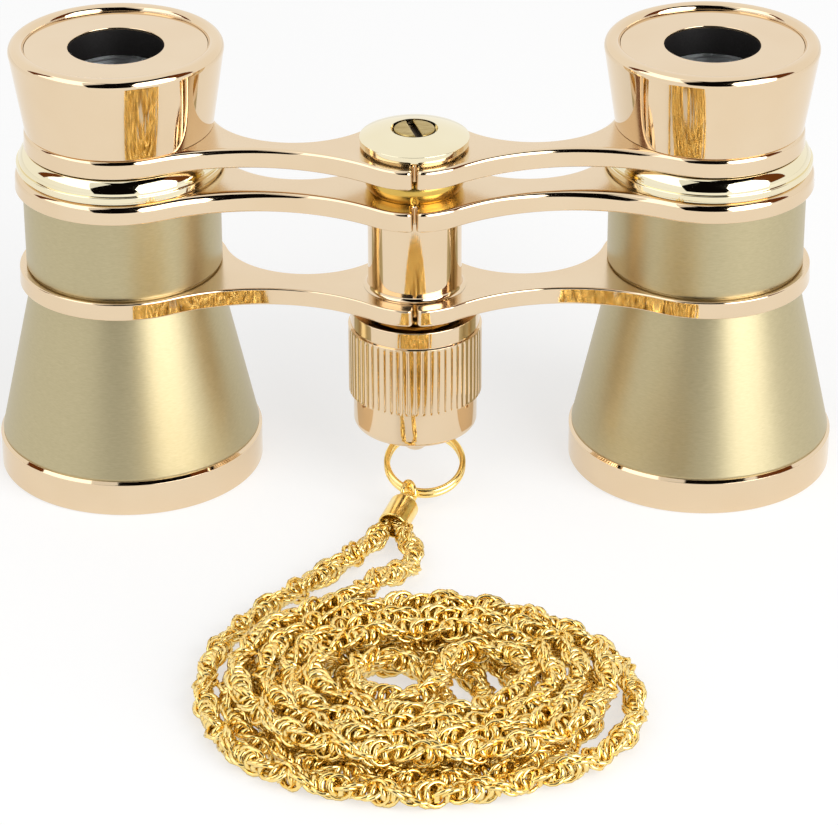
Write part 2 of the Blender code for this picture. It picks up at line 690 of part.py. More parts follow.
def add_knob(pivot):
    """The fluted knob, the nut fixed in it and the clip that keeps the nut in the lower plate."""
    place = (0, CENTRE_Y, 0)
    knob = add_object("focus_knob", fluted_mesh("focus_knob"), "rose_gold", pivot, place)
    nut_pocket = NUT_RADIUS + FIT
    bore = [
        (0, KNOB_BOTTOM - CUT_MARGIN),
        (STUD_HOLE_RADIUS, KNOB_BOTTOM - CUT_MARGIN),
        (STUD_HOLE_RADIUS, KNOB_FLOOR_TOP),
        (KNOB_BORE, KNOB_FLOOR_TOP),
        (KNOB_BORE, NUT_BOTTOM - FIT),
        (nut_pocket, NUT_BOTTOM - FIT),
        (nut_pocket, KNOB_TOP + CUT_MARGIN),
        (0, KNOB_TOP + CUT_MARGIN),
    ]
    add_boolean(knob, make_cutter("knob_bore", turned_mesh("knob_bore", bore, INNER_SIDES), place))

    groove_bottom = LOWER_PLATE[1] + FIT
    groove_top = groove_bottom + CLIP_THICKNESS + 2 * FIT
    rod_hole = ROD_RADIUS + FIT
    nut = [
        (rod_hole, NUT_BOTTOM),
        (NUT_RADIUS, NUT_BOTTOM),
        (NUT_RADIUS, groove_bottom),
        (CLIP_GROOVE_RADIUS, groove_bottom),
        (CLIP_GROOVE_RADIUS, groove_top),
        (NUT_RADIUS, groove_top),
        (NUT_RADIUS, NUT_TOP),
        (rod_hole, NUT_TOP),
    ]
    add_object("focus_nut", turned_mesh("focus_nut", nut, INNER_SIDES), "turned_brass", pivot, place)

    foot = groove_bottom + FIT
    clip = tube_profile(CLIP_GROOVE_RADIUS + FIT, CLIP_RADIUS, foot, foot + CLIP_THICKNESS)
    add_object("retaining_clip", turned_mesh("retaining_clip", clip, INNER_SIDES), "turned_brass", pivot, place)


def tube_object(name, points, diameter, resolution, finish, pivot):
    """A round tube with closed ends along points in millimetres."""
    curve = bpy.data.curves.new(name, "CURVE")
    curve.dimensions = "3D"
    curve.bevel_depth = diameter / 2 * MM
    curve.bevel_resolution = resolution
    curve.use_fill_caps = True
    spline = curve.splines.new("POLY")
    spline.points.add(len(points) - 1)
    local = np.array(points) * MM - np.array(pivot.location)
    spline.points.foreach_set("co", np.column_stack([local, np.ones(len(local))]).ravel())
    obj = bpy.data.objects.new(name, curve)
    bpy.context.scene.collection.objects.link(obj)
    curve.materials.append(MATERIALS[finish])
    obj.parent = pivot
    return obj


def split_ring_points():
    """Two turns in a tilted plane. The ramp from the first turn to the second passes through the stud's eye."""
    slack = math.asin(RING_OFFSET_X / RING_RADIUS)
    down = np.array([0, -math.cos(RING_TILT), -math.sin(RING_TILT)])
    up = np.array([0, -math.sin(RING_TILT), math.cos(RING_TILT)])
    sideways = np.array([1.0, 0, 0])
    eye = np.array([0, CENTRE_Y, STUD_EYE_HEIGHT])
    centre = eye + RING_OFFSET_X * sideways + (RING_RADIUS * math.cos(slack) - RING_RISE) * down
    turns = np.linspace(RING_RAMP, 4 * math.pi - RING_RAMP, 2 * RING_POINTS_PER_TURN)
    share = np.clip((turns - 2 * math.pi) / (2 * RING_RAMP) + 0.5, 0, 1)
    lift = RING_TURN_STEP * (share - 0.5)
    angle = turns - math.pi
    circle = np.cos(angle)[:, None] * down + np.sin(angle)[:, None] * sideways
    return centre + RING_RADIUS * circle + lift[:, None] * up


def add_stud_and_ring(pivot):
    """The eye that swivels in the knob's floor, and the split ring through it."""
    place = (0, CENTRE_Y, 0)
    shoulder = KNOB_BOTTOM - FIT
    neck_start = math.degrees(math.acos(STUD_NECK_RADIUS / STUD_EYE_RADIUS))
    eye = arc((0, STUD_EYE_HEIGHT), STUD_EYE_RADIUS, -90, neck_start, STUD_EYE_STEPS)
    head_foot = KNOB_FLOOR_TOP + FIT
    stud = [(0, eye[0][1])] + eye[1:]
    stud += [
        (STUD_NECK_RADIUS, shoulder),
        (STUD_NECK_RADIUS, head_foot),
        (STUD_HEAD_RADIUS, head_foot),
        (STUD_HEAD_RADIUS, head_foot + STUD_HEAD_THICKNESS),
        (0, head_foot + STUD_HEAD_THICKNESS),
    ]
    body = add_object("chain_stud", turned_mesh("chain_stud", stud, INNER_SIDES), "gold_chain", pivot, place)
    reach = STUD_EYE_RADIUS + CUT_MARGIN
    hole = turned_mesh("eye_hole", rod_profile(STUD_EYE_HOLE, -reach, reach), INNER_SIDES)
    cutter = make_cutter("stud_eye_hole", hole, (0, CENTRE_Y, STUD_EYE_HEIGHT), (0, math.pi / 2, 0))
    add_boolean(body, cutter)
    tube_object("split_ring", split_ring_points(), RING_WIRE, RING_ROUNDNESS, "gold_chain", pivot)


def add_ferrule(pivot):
    """The end cap that grips both ends of the chain, with a neck and a loop at its closed end."""
    end = Vector(FERRULE_END)
    run = Vector(FERRULE_MOUTH) - end
    length = run.length
    cup = [
        (0, -FERRULE_NECK_LENGTH),
        (FERRULE_NECK_RADIUS, -FERRULE_NECK_LENGTH),
        (FERRULE_NECK_RADIUS, 0),
        (FERRULE_RADIUS - FIT, 0),
        (FERRULE_RADIUS, FIT),
        (FERRULE_RADIUS, length),
        (FERRULE_BORE, length),
        (FERRULE_BORE, length - FERRULE_POCKET),
        (0, length - FERRULE_POCKET),
    ]
    turn = run.to_track_quat("Z", "Y").to_euler()
    mesh = turned_mesh("ferrule", cup, INNER_SIDES)
    ferrule = add_object("ferrule", mesh, "gold_chain", pivot, end, turn)
    wire = arc((LOOP_RADIUS, 0), LOOP_WIRE_RADIUS, 0, 360, LOOP_WIRE_SIDES)[:-1]
    loop = make_cutter("ferrule_loop", turned_mesh("loop", wire, INNER_SIDES), LOOP_CENTRE, (0, math.pi / 2, 0))
    add_boolean(ferrule, loop, "UNION")


def angle_steps(start, end):
    """Even steps from one angle to another, as many as the coil has in such a stretch."""
    return np.linspace(start, end, round(abs(end - start) * POINTS_PER_LOOP / (2 * math.pi)) + 1)


def oval_turns(angles, start, end, height):
    """A spiral of ovals: half length, half width and the centre's x change evenly from start to end."""
    share = (angles - angles[0]) / (angles[-1] - angles[0])
    half_length, half_width, shift = (first + (last - first) * share for first, last in zip(start, end))
    xs = COIL_CENTRE[0] + shift + half_length * np.cos(angles)
    ys = COIL_CENTRE[1] + half_width * np.sin(angles)
    return np.column_stack([xs, ys, np.full(len(angles), height)])


def coil_points():
    """The pile: it winds in on the floor to a small eye, climbs round the eye, and turns back and winds out on top.

    The turn back lies beside the eye, over the turns on the floor.
    """
    top_height = COIL_BOTTOM_HEIGHT + COIL_LAYER_STEP
    eye = (COIL_EYE_RADIUS, COIL_EYE_RADIUS, COIL_TURN_BACK_X - COIL_EYE_RADIUS)
    beside = (COIL_EYE_RADIUS, COIL_EYE_RADIUS, COIL_TURN_BACK_X + COIL_EYE_RADIUS)
    inward = angle_steps(COIL_START_ANGLE, COIL_NARROW_ANGLE)
    round_eye = angle_steps(COIL_NARROW_ANGLE, COIL_TURN_BACK_ANGLE)[1:]
    narrowing = oval_turns(inward, (*COIL_BOTTOM_OUTER, 0), eye, COIL_BOTTOM_HEIGHT)
    bottom = np.vstack([narrowing, oval_turns(round_eye, eye, eye, COIL_BOTTOM_HEIGHT)])
    climb_start, climb_end = COIL_CLIMB_ANGLES
    climb = np.clip((np.r_[inward, round_eye] - climb_start) / (climb_end - climb_start), 0, 1)
    bottom[:, 2] += COIL_LAYER_STEP * climb * climb * (3 - 2 * climb)
    turn_back = oval_turns(angle_steps(math.pi, 0)[1:-1], beside, beside, top_height)
    top_inner = (COIL_TURN_BACK_X + 2 * COIL_EYE_RADIUS, COIL_TOP_INNER_WIDTH, 0)
    outward = angle_steps(0, COIL_END_ANGLE - 2 * math.pi * (COIL_TOP_TURNS + 1))
    top = oval_turns(outward, top_inner, (*COIL_TOP_OUTER, 0), top_height)
    points = np.vstack([bottom, turn_back, top])
    return np.vstack([straight_end(points), points, straight_end(points[::-1])])


def straight_end(points):
    """A point one chain diameter beyond the first point, in line with the first run."""
    run = points[0] - points[1]
    return points[0] + CHAIN_DIAMETER * run / np.linalg.norm(run)


def least_gap(points):
    """The smallest clear distance between stretches of the coil that aren't neighbours along it."""
    shares = np.arange(GAP_SAMPLES)[:, None, None] / GAP_SAMPLES
    dense = (points[:-1] + shares * (points[1:] - points[:-1])).transpose(1, 0, 2).reshape(-1, 3)
    run = np.r_[0, np.cumsum(np.linalg.norm(np.diff(dense, axis=0), axis=1))]
    apart = np.linalg.norm(dense[:, None] - dense[None], axis=2)
    near = np.abs(run[:, None] - run[None]) < NEIGHBOUR_REACH
    apart[near] = np.inf
    return apart.min() - CHAIN_DIAMETER


def smooth_route(route, spacing):
    """Evenly spaced points on a smooth curve through the route's points."""
    route = np.array(route)
    tangent = np.gradient(route, axis=0)
    dense = [route[0]]
    for i in range(len(route) - 1):
        for t in np.arange(1, ROUTE_SAMPLES + 1) / ROUTE_SAMPLES:
            dense.append(
                (2 * t**3 - 3 * t**2 + 1) * route[i]
                + (t**3 - 2 * t**2 + t) * tangent[i]
                + (3 * t**2 - 2 * t**3) * route[i + 1]
                + (t**3 - t**2) * tangent[i + 1]
            )
    dense = np.array(dense)
    run = np.r_[0, np.cumsum(np.linalg.norm(np.diff(dense, axis=0), axis=1))]
    even = np.linspace(0, run[-1], round(run[-1] / spacing) + 1)
    return np.column_stack([np.interp(even, run, dense[:, axis]) for axis in range(3)])


def add_chain(pivot):
    """The coiled pile and the two leads that run from it into the ferrule."""
    coil = coil_points()
    tube_object("chain_coil", coil, CHAIN_DIAMETER, COIL_ROUNDNESS, "gold_chain", pivot)
    print(f"chain coil: least gap to itself {least_gap(coil):.2f} mm")
    for side, route, end, after in (
        ("left", LEFT_LEAD_ROUTE, coil[0], coil[1]),
        ("right", RIGHT_LEAD_ROUTE, coil[-1], coil[-2]),
    ):
        away = (end - after) / np.linalg.norm(end - after)
        points = smooth_route([*route, end + FIT * away], LEAD_POINT_SPACING)
        points = np.vstack([points[:-1], end + (FIT + CHAIN_DIAMETER / 2) * away, end + FIT * away])
        tube_object(f"chain_lead_{side}", points, CHAIN_DIAMETER, LEAD_ROUNDNESS, "gold_chain", pivot)


def build():
    """Every piece, group by group: fixed frame, sliding ocular bridge, turning knob and swivelling chain."""
    frame = make_pivot("frame")
    ocular = make_pivot("ocular", 0, CENTRE_Y)
    knob = make_pivot("knob", 0, CENTRE_Y)
    chain = make_pivot("chain", 0, CENTRE_Y)
    for side, x in (("left", -BARREL_SPACING / 2), ("right", BARREL_SPACING / 2)):
        add_barrel(side, x, frame)
        add_eyepiece(side, x, ocular)
    spigot_hole = SPIGOT_RADIUS + FIT
    add_plate("lower_plate", LOWER_PLATE, LOWER_ARCS, frame, spigot_hole, NUT_RADIUS + FIT)
    add_plate("middle_plate", MIDDLE_PLATE, MIDDLE_ARCS, frame, spigot_hole, ROD_RADIUS + FIT)
    add_plate("top_plate", TOP_PLATE, TOP_ARCS, ocular, DRAW_TUBE_RADIUS + FIT, ROD_RADIUS + FIT)
    add_centre(frame)
    add_bridge_fittings(ocular)
    add_knob(knob)
    add_stud_and_ring(chain)
    add_ferrule(chain)
    add_chain(chain)


clear_scene()
MATERIALS = {finish: make_material(finish) for finish in FINISHES}
build()
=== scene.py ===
import math

import bmesh
import bpy
import numpy as np
from mathutils import Matrix, Vector
from mathutils.geometry import tessellate_polygon


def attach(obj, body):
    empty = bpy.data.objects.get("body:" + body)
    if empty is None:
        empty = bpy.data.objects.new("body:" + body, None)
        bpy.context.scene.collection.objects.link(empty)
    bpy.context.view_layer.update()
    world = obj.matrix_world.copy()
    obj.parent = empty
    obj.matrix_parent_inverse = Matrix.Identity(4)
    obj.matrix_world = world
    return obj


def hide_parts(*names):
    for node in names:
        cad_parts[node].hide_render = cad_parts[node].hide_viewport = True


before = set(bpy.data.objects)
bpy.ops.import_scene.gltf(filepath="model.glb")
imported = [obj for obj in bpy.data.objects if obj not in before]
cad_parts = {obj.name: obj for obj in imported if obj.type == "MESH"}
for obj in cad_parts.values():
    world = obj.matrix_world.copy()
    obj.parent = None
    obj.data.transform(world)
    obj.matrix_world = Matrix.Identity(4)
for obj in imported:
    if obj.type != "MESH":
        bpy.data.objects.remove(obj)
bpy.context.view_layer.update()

# Lengths are in millimetres, as in the part's own source, and MM turns them into metres
MM = 0.001
UP = np.array([0.0, 0.0, 1.0])
SIDEWAYS = np.array([1.0, 0.0, 0.0])

# Facets round a turned piece, round a hole in a plate and in a rounded corner
SIDES = 160
HOLE_SIDES = 64
FINE_STEPS = 8

# The distance of a holding edge from a corner, the shortest run that gets such edges, and the angle
# that shows as a corner
HOLD = 0.03
LONG_RUN = 0.3
SHARP = math.radians(38)

# Points closer than this are welded, and shorter edges dissolved, both in metres
WELD, SLIVER = 1e-7, 1e-8

# Facets round a swept wire, rows in each of its ball ends, the sine under which a run of it counts
# as steep, and the cosine over which an axis counts as sideways
WIRE_FACETS = 16
BALL_ROWS = 4
STEEP_SINE = 0.15
SIDEWAYS_COSINE = 0.9

BARREL_X = {"left": -31.0, "right": 31.0}
CENTRE_Y = -6.0


# Finishes


def linear(code):
    """A six-digit sRGB hex colour as linear RGBA: ((c + 0.055) / 1.055) to the power 2.4, or c /
    12.92 near black."""
    srgb = np.array([int(code[i : i + 2], 16) for i in (0, 2, 4)]) / 255
    rgb = np.where(srgb <= 0.04045, srgb / 12.92, ((srgb + 0.055) / 1.055) ** 2.4)
    return (*rgb.tolist(), 1.0)


def fill(tree, node, sockets):
    """Gives each named socket of a node its value or its link."""
    for key, value in sockets.items():
        if isinstance(value, bpy.types.NodeSocket):
            tree.links.new(value, node.inputs[key])
        else:
            node.inputs[key].default_value = value


def add_node(tree, kind, sockets=None, **settings):
    """Adds one node, sets its properties and fills its sockets."""
    node = tree.nodes.new(kind)
    for key, value in settings.items():
        setattr(node, key, value)
    fill(tree, node, sockets or {})
    return node


def blank_material(name):
    """A new material and its node tree, with no nodes yet."""
    material = bpy.data.materials.new(name)
    material.use_nodes = True
    material.node_tree.nodes.clear()
    return material, material.node_tree


def new_finish(name):
    """A material with a plain Principled shader: its tree, its shader and the coordinates of the
    surface in metres."""
    material, tree = blank_material(name)
    shader = add_node(tree, "ShaderNodeBsdfPrincipled")
    add_node(tree, "ShaderNodeOutputMaterial", {"Surface": shader.outputs[0]})
    place = add_node(tree, "ShaderNodeTexCoord").outputs["Object"]
    return material, tree, shader, place


def cloudy(tree, place, size, detail=3.0, stretch=(1, 1, 1), rough=0.55):
    """Noise whose lumps are about size millimetres across, stretched along the axes; its factor is
    0 to 1."""
    scale = [1 / share for share in stretch]
    moved = add_node(tree, "ShaderNodeMapping", {"Vector": place, "Scale": scale})
    lumps = {"Vector": moved.outputs[0], "Scale": 1 / (size * MM), "Detail": detail}
    lumps["Roughness"] = rough
    return add_node(tree, "ShaderNodeTexNoise", lumps).outputs[0]


def spread(tree, factor, low, high, start=0.3, end=0.7):
    """A number that runs from low to high as the factor runs from start to end."""
    ends = {"Value": factor, "From Min": start, "From Max": end, "To Min": low, "To Max": high}
    return add_node(tree, "ShaderNodeMapRange", ends).outputs[0]


def blend(tree, share, first, second):
    """A mix of two colours, each a linear colour or a link."""
    colours = {0: share, 6: first, 7: second}
    return add_node(tree, "ShaderNodeMix", colours, data_type="RGBA").outputs[2]


def two_tone(tree, factor, first, second):
    """A colour that runs from the first hex value to the second with the factor."""
    return blend(tree, spread(tree, factor, 0.0, 1.0), linear(first), linear(second))


def raised(tree, height, distance):
    """The normal of a bump whose full height is distance millimetres."""
    bump = {"Height": height, "Distance": distance * MM, "Strength": 1.0}
    return add_node(tree, "ShaderNodeBump", bump).outputs[0]


def polished_plate(name, tone, shade, roughness, wave, lapped=None):
    """Buffed and lacquered plating on a zinc casting: a mirror with a faint orange-peel wave from
    the buffing, and a slight mottle of tone where the plating is thicker. A lapped finish has flat
    faces that were rubbed on a plate before plating: there the mirror is softer, by the mesh's own
    attribute."""
    material, tree, shader, place = new_finish(name)
    haze = spread(tree, cloudy(tree, place, 3.0, detail=4.0), roughness * 0.7, roughness * 1.4)
    if lapped:
        flat = add_node(tree, "ShaderNodeAttribute", attribute_name="lapped").outputs["Fac"]
        softer = {0: flat, 1: lapped, 2: haze}
        haze = add_node(tree, "ShaderNodeMath", softer, operation="MULTIPLY_ADD").outputs[0]
    look = {
        "Base Color": two_tone(tree, cloudy(tree, place, 9.0, detail=2.0), tone, shade),
        "Metallic": 1.0,
        "Roughness": haze,
        "Normal": raised(tree, cloudy(tree, place, 5.0, detail=1.0), wave),
    }
    fill(tree, shader, look)
    return material


def satin_tube(name):
    """Anodised aluminium tube, bead-blasted and then turned: soft broad reflections, with a fine
    grain that runs round the barrel. The grain is drawn at 0.1 mm, coarser than the real one, so
    that it shows."""
    material, tree, shader, place = new_finish(name)
    grain = cloudy(tree, place, 0.1, stretch=(6.0, 6.0, 1.0))
    look = {
        "Base Color": two_tone(tree, grain, "B9AD89", "C3B792"),
        "Metallic": 1.0,
        "Roughness": spread(tree, grain, 0.33, 0.39),
        "Normal": raised(tree, grain, 0.0005),
    }
    fill(tree, shader, look)
    return material


# Heights between which the painted shade in the screw's slot and round its head gives way to rubbed
# brass
SCREW_SHADE_HEIGHTS = (40.95, 41.15)


def aged_brass_with_slot_shade(name):
    """Brass screw, rubbed: matt yellow-brown with fine scratches and darker pits. Below a height,
    in the slot and round the head, the colour is painted nearly black: painted shade where these
    lie in shadow."""
    material, tree, shader, place = new_finish(name)
    rub = cloudy(tree, place, 0.5, detail=5.0, stretch=(3.0, 0.6, 1.0), rough=0.7)
    # Painted shade: below these heights, in the slot and round the head, the colour is painted
    # nearly black (3A2A14)
    height = add_node(tree, "ShaderNodeSeparateXYZ", {0: place}).outputs["Z"]
    unshaded = spread(tree, height, 0.0, 1.0, SCREW_SHADE_HEIGHTS[0] * MM, SCREW_SHADE_HEIGHTS[1] * MM)
    bright = two_tone(tree, rub, "A58C50", "CBB478")
    look = {
        "Base Color": blend(tree, unshaded, linear("3A2A14"), bright),
        "Metallic": 1.0,
        "Roughness": spread(tree, rub, 0.42, 0.26),
        "Normal": raised(tree, rub, 0.01),
    }
    fill(tree, shader, look)
    return material


def gold_wire(name):
    """Drawn wire with bright gold plating: strong yellow with orange where it reflects itself, and
    small differences of tone from link to link."""
    material, tree, shader, place = new_finish(name)
    tone = cloudy(tree, place, 1.2, detail=2.0)
    look = {
        "Base Color": two_tone(tree, tone, "FFDA7E", "FFE8A0"),
        "Metallic": 1.0,
        "Roughness": spread(tree, tone, 0.14, 0.24),
    }
    fill(tree, shader, look)
    return material


def machined_brass(name):
    """Brass left as it came from the lathe: turned rings 0.3 mm apart, kept visible on the hidden
    works."""
    material, tree, shader, place = new_finish(name)
    cuts = cloudy(tree, place, 0.3, detail=2.0, stretch=(8.0, 8.0, 1.0))
    look = {
        "Base Color": two_tone(tree, cuts, "B08A3C", "D2AE62"),
        "Metallic": 1.0,
        "Roughness": spread(tree, cuts, 0.22, 0.4),
        "Normal": raised(tree, cuts, 0.01),
    }
    fill(tree, shader, look)
    return material


def matt_black(name, tone, shade, grit, roughness):
    """A black that keeps light out of the tube, such as blacking paint or felt, with its grit or
    fibres."""
    material, tree, shader, place = new_finish(name)
    specks = cloudy(tree, place, grit, detail=4.0, rough=0.7)
    look = {
        "Base Color": two_tone(tree, specks, tone, shade),
        "Roughness": spread(tree, specks, roughness, roughness - 0.15),
        "Normal": raised(tree, specks, grit * 0.15),
    }
    fill(tree, shader, look)
    return material


def lens_glass(name):
    """Crown glass lens with a thin anti-glare coating: clear, with a film of dust that softens its
    highlights."""
    material, tree, shader, place = new_finish(name)
    smear = cloudy(tree, place, 2.5, detail=4.0, stretch=(2.0, 1.0, 1.0))
    look = {
        "Base Color": two_tone(tree, smear, "E3EBF2", "F2F4F2"),
        "Transmission Weight": 1.0,
        "IOR": 1.52,
        "Specular IOR Level": 0.3,
        "Roughness": spread(tree, smear, 0.3, 0.42),
    }
    fill(tree, shader, look)
    return material


ROSE_GOLD = {"tone": "E9D3B3", "shade": "E6CEAC", "roughness": 0.05, "wave": 0.003}
PALE_GOLD = {"tone": "F3EACC", "shade": "EFE3C0", "roughness": 0.04, "wave": 0.003}
LACQUERED = {"tone": "DDBB62", "shade": "D3AE54", "roughness": 0.2, "wave": 0.004}
BLACKING = {"tone": "0B0A0A", "shade": "191616", "grit": 0.25, "roughness": 0.6}
FELT = {"tone": "0E0D0E", "shade": "242124", "grit": 0.15, "roughness": 0.95}
FINISHES = {
    "rose_gold": polished_plate("polished_rose_gold", **ROSE_GOLD),
    "lapped_rose_gold": polished_plate("lapped_rose_gold", **ROSE_GOLD, lapped=0.15),
    "yellow_gold": polished_plate("polished_pale_gold", **PALE_GOLD),
    "brass": polished_plate("lacquered_brass", **LACQUERED),
    "champagne_satin": satin_tube("satin_anodised_champagne"),
    "antique_brass": aged_brass_with_slot_shade("rubbed_brass_painted_slot_shade"),
    "gold_chain": gold_wire("gold_plated_wire"),
    "turned_brass": machined_brass("machined_brass"),
    "black_paint": matt_black("blacking_paint", **BLACKING),
    "black_felt": matt_black("black_felt", **FELT),
    "lens_glass": lens_glass("coated_lens_glass"),
}


# Surfaces


def sheet(points, wrap_rows=False, wrap_columns=True):
    """Quads over a grid of points (rows, columns, 3): each joins a point to the next in its row and
    to the row above. A wrapped direction closes on itself."""
    rows, columns = points.shape[:2]
    index = np.arange(rows * columns).reshape(rows, columns)
    if wrap_rows:
        index = np.vstack([index, index[:1]])
    if wrap_columns:
        index = np.hstack([index, index[:, :1]])
    quads = np.stack([index[:-1, :-1], index[:-1, 1:], index[1:, 1:], index[1:, :-1]], axis=-1)
    return points.reshape(-1, 3), quads.reshape(-1, 4).tolist()


def make_piece(name, sheets, finish, body, replaces=(), weld=True):
    """One object from sheets given in millimetres, welded where they meet, and smooth but for its
    corners."""
    count = 0
    points = []
    faces = []
    for sheet_points, sheet_faces in sheets:
        points.append(sheet_points)
        faces += [[i + count for i in face] for face in sheet_faces]
        count += len(sheet_points)
    mesh = bpy.data.meshes.new(name)
    mesh.from_pydata(np.vstack(points) * MM, [], faces)
    if weld:
        bm = bmesh.new()
        bm.from_mesh(mesh)
        bmesh.ops.remove_doubles(bm, verts=bm.verts, dist=WELD)
        bmesh.ops.dissolve_degenerate(bm, edges=bm.edges, dist=SLIVER)
        bmesh.ops.recalc_face_normals(bm, faces=bm.faces)
        bm.to_mesh(mesh)
        bm.free()
    mesh.shade_smooth()
    mesh.set_sharp_from_angle(angle=SHARP)
    mesh.materials.append(FINISHES[finish])
    obj = bpy.data.objects.new(name, mesh)
    bpy.context.scene.collection.objects.link(obj)
    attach(obj, body)
    if replaces:
        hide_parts(*replaces)
    return obj


def arc(centre, radius, start, end, count, rise=None):
    """Points round a centre from one angle to another in degrees; a rise makes the arc oval."""
    angle = np.radians(np.linspace(start, end, count))
    rise = radius if rise is None else rise
    return np.column_stack([centre[0] + radius * np.cos(angle), centre[1] + rise * np.sin(angle)])


def eased(profile, closed=True):
    """The outline through (radius, height, corner radius) rows. Each corner becomes an arc that
    touches both of its sides, and each long straight run gets a point close to either end, which
    keeps it flat to the eye."""
    rows = np.array([(*row, 0.0)[:3] for row in profile])
    corners = rows[:, :2]
    before = np.roll(corners, 1, axis=0)
    after = np.roll(corners, -1, axis=0)
    outline = []
    for i, (corner, ease) in enumerate(zip(corners, rows[:, 2])):
        at_end = not closed and i in (0, len(rows) - 1)
        if ease <= 0 or at_end:
            outline.append(corner[None])
            continue
        back = (before[i] - corner) / np.linalg.norm(before[i] - corner)
        ahead = (after[i] - corner) / np.linalg.norm(after[i] - corner)
        half = math.acos(np.clip(back @ ahead, -1, 1)) / 2
        reach = ease / math.tan(half)
        middle = back + ahead
        centre = corner + middle / np.linalg.norm(middle) * ease / math.sin(half)
        first = corner + back * reach - centre
        last = corner + ahead * reach - centre
        swing = math.pi - 2 * half
        share = np.linspace(0, 1, FINE_STEPS + 1)[:, None]
        turn = np.sin((1 - share) * swing) * first + np.sin(share * swing) * last
        outline.append(centre + turn / math.sin(swing))
    outline = np.vstack(outline)
    following = np.roll(outline, -1, axis=0)
    run = np.linalg.norm(following - outline, axis=1)
    dense = []
    for i in range(len(outline)):
        dense.append(outline[i])
        if run[i] > LONG_RUN and (closed or i < len(outline) - 1):
            step = (following[i] - outline[i]) / run[i]
            dense += [outline[i] + HOLD * step, following[i] - HOLD * step]
    return np.array(dense)


def axis_at(origin, along=UP):
    """The starting point of an axis, two directions across it and the axis itself."""
    along = np.array(along, float)
    along /= np.linalg.norm(along)
    hint = SIDEWAYS if abs(along[0]) < SIDEWAYS_COSINE else np.array([0, 1.0, 0])
    second = np.cross(along, hint)
    second /= np.linalg.norm(second)
    return np.array(origin, float), np.cross(second, along), second, along


def turned(profile, axis, closed=True, sides=SIDES, dip=None):
    """A solid of revolution: the point at radius r and height h goes, at angle a, to origin + r cos
    a and r sin a along the two cross directions + h along the axis. A dip is taken off the radius,
    by height and angle."""
    outline = eased(profile, closed)
    origin, across, second, along = axis
    angle = np.linspace(0, 2 * math.pi, sides, endpoint=False)
    radius = np.repeat(outline[:, :1], sides, axis=1)
    if dip is not None:
        radius = radius - dip(outline[:, 1:2], angle[None])
    points = (
        origin
        + (radius * np.cos(angle))[..., None] * across
        + (radius * np.sin(angle))[..., None] * second
        + outline[:, 1, None, None] * along
    )
    return sheet(points, wrap_rows=closed)


def swept(path, radius):
    """A round wire: at each point of the path a circle of the wire's radius lies across the path's
    direction. At either end the circles shrink to a point as the wire's own half ball, which closes
    it."""
    ahead = np.gradient(path, axis=0)
    ahead /= np.linalg.norm(ahead, axis=1)[:, None]
    rise = np.linspace(0, math.pi / 2, BALL_ROWS + 1)[:-1]
    beyond = radius * np.cos(rise)[:, None]
    points = np.vstack([path[0] - ahead[0] * beyond, path, path[-1] + ahead[-1] * beyond[::-1]])
    first, last = (np.repeat(end, BALL_ROWS, axis=0) for end in (ahead[:1], ahead[-1:]))
    along = np.vstack([first, ahead, last])
    sizes = np.r_[np.sin(rise), np.ones(len(path)), np.sin(rise)[::-1]] * radius
    side = np.cross(UP, along)
    steep = np.linalg.norm(side, axis=1) < STEEP_SINE
    side[steep] = np.cross(SIDEWAYS, along[steep])
    side /= np.linalg.norm(side, axis=1)[:, None]
    over = np.cross(along, side)
    angle = np.linspace(0, 2 * math.pi, WIRE_FACETS, endpoint=False)
    angle = angle[None, :, None]
    ring = np.cos(angle) * side[:, None] + np.sin(angle) * over[:, None]
    return sheet(points[:, None] + sizes[:, None, None] * ring)


def heading(start, end):
    """Direction from one point to another, in degrees."""
    return math.degrees(math.atan2(end[1] - start[1], end[0] - start[0]))


def waist_centre(arcs, waist, side):
    """Centre of the hollow arc that touches the centre boss and the right barrel's ring."""
    boss = np.array([0.0, CENTRE_Y])
    ring = np.array([BARREL_X["right"], 0.0])
    span = np.linalg.norm(ring - boss)
    along = (ring - boss) / span
    across = np.array([-along[1], along[0]])
    to_boss = arcs["boss"] + arcs[waist]
    to_ring = arcs["ring"] + arcs[waist]
    reach = (to_boss**2 - to_ring**2 + span**2) / (2 * span)
    return boss + reach * along + side * math.sqrt(to_boss**2 - reach**2) * across


SLIT_HALF = 0.14
SLIT_DEPTH = 2.0
LIP_RADIUS = 0.65


def bridge_outline(arcs):
    """Counter-clockwise outline of a bridge plate: the slit at the front of its boss with its two
    rounded lips, then boss, hollow front waist, barrel ring, hollow back waist and boss again, all
    as arcs that touch."""
    boss = (0.0, CENTRE_Y)
    ring = (BARREL_X["right"], 0.0)
    front = waist_centre(arcs, "front", -1)
    back = waist_centre(arcs, "back", 1)
    inner = arcs["boss"] - LIP_RADIUS
    lip_x = SLIT_HALF + LIP_RADIUS
    lip = (lip_x, CENTRE_Y - math.sqrt(inner**2 - lip_x**2))
    slit_end = (0.0, CENTRE_Y - arcs["boss"] + SLIT_DEPTH)
    lip_end = heading(boss, lip)
    runs = [
        arc(slit_end, SLIT_HALF, 90, 0, 5),
        arc(lip, LIP_RADIUS, 180, 360 + lip_end, 13),
        arc(boss, arcs["boss"], lip_end, heading(boss, front), 24)[1:],
        arc(front, arcs["front"], heading(front, boss), heading(front, ring), 48)[1:],
        arc(ring, arcs["ring"], heading(ring, front), heading(ring, back), 96)[1:],
        arc(back, arcs["back"], heading(back, ring) % 360, heading(back, boss) % 360, 40)[1:],
        arc(boss, arcs["boss"], heading(boss, back), 90, 16)[1:],
    ]
    right = np.vstack(runs)
    left = right[-2:0:-1] * (-1, 1)
    return np.vstack([right, left])


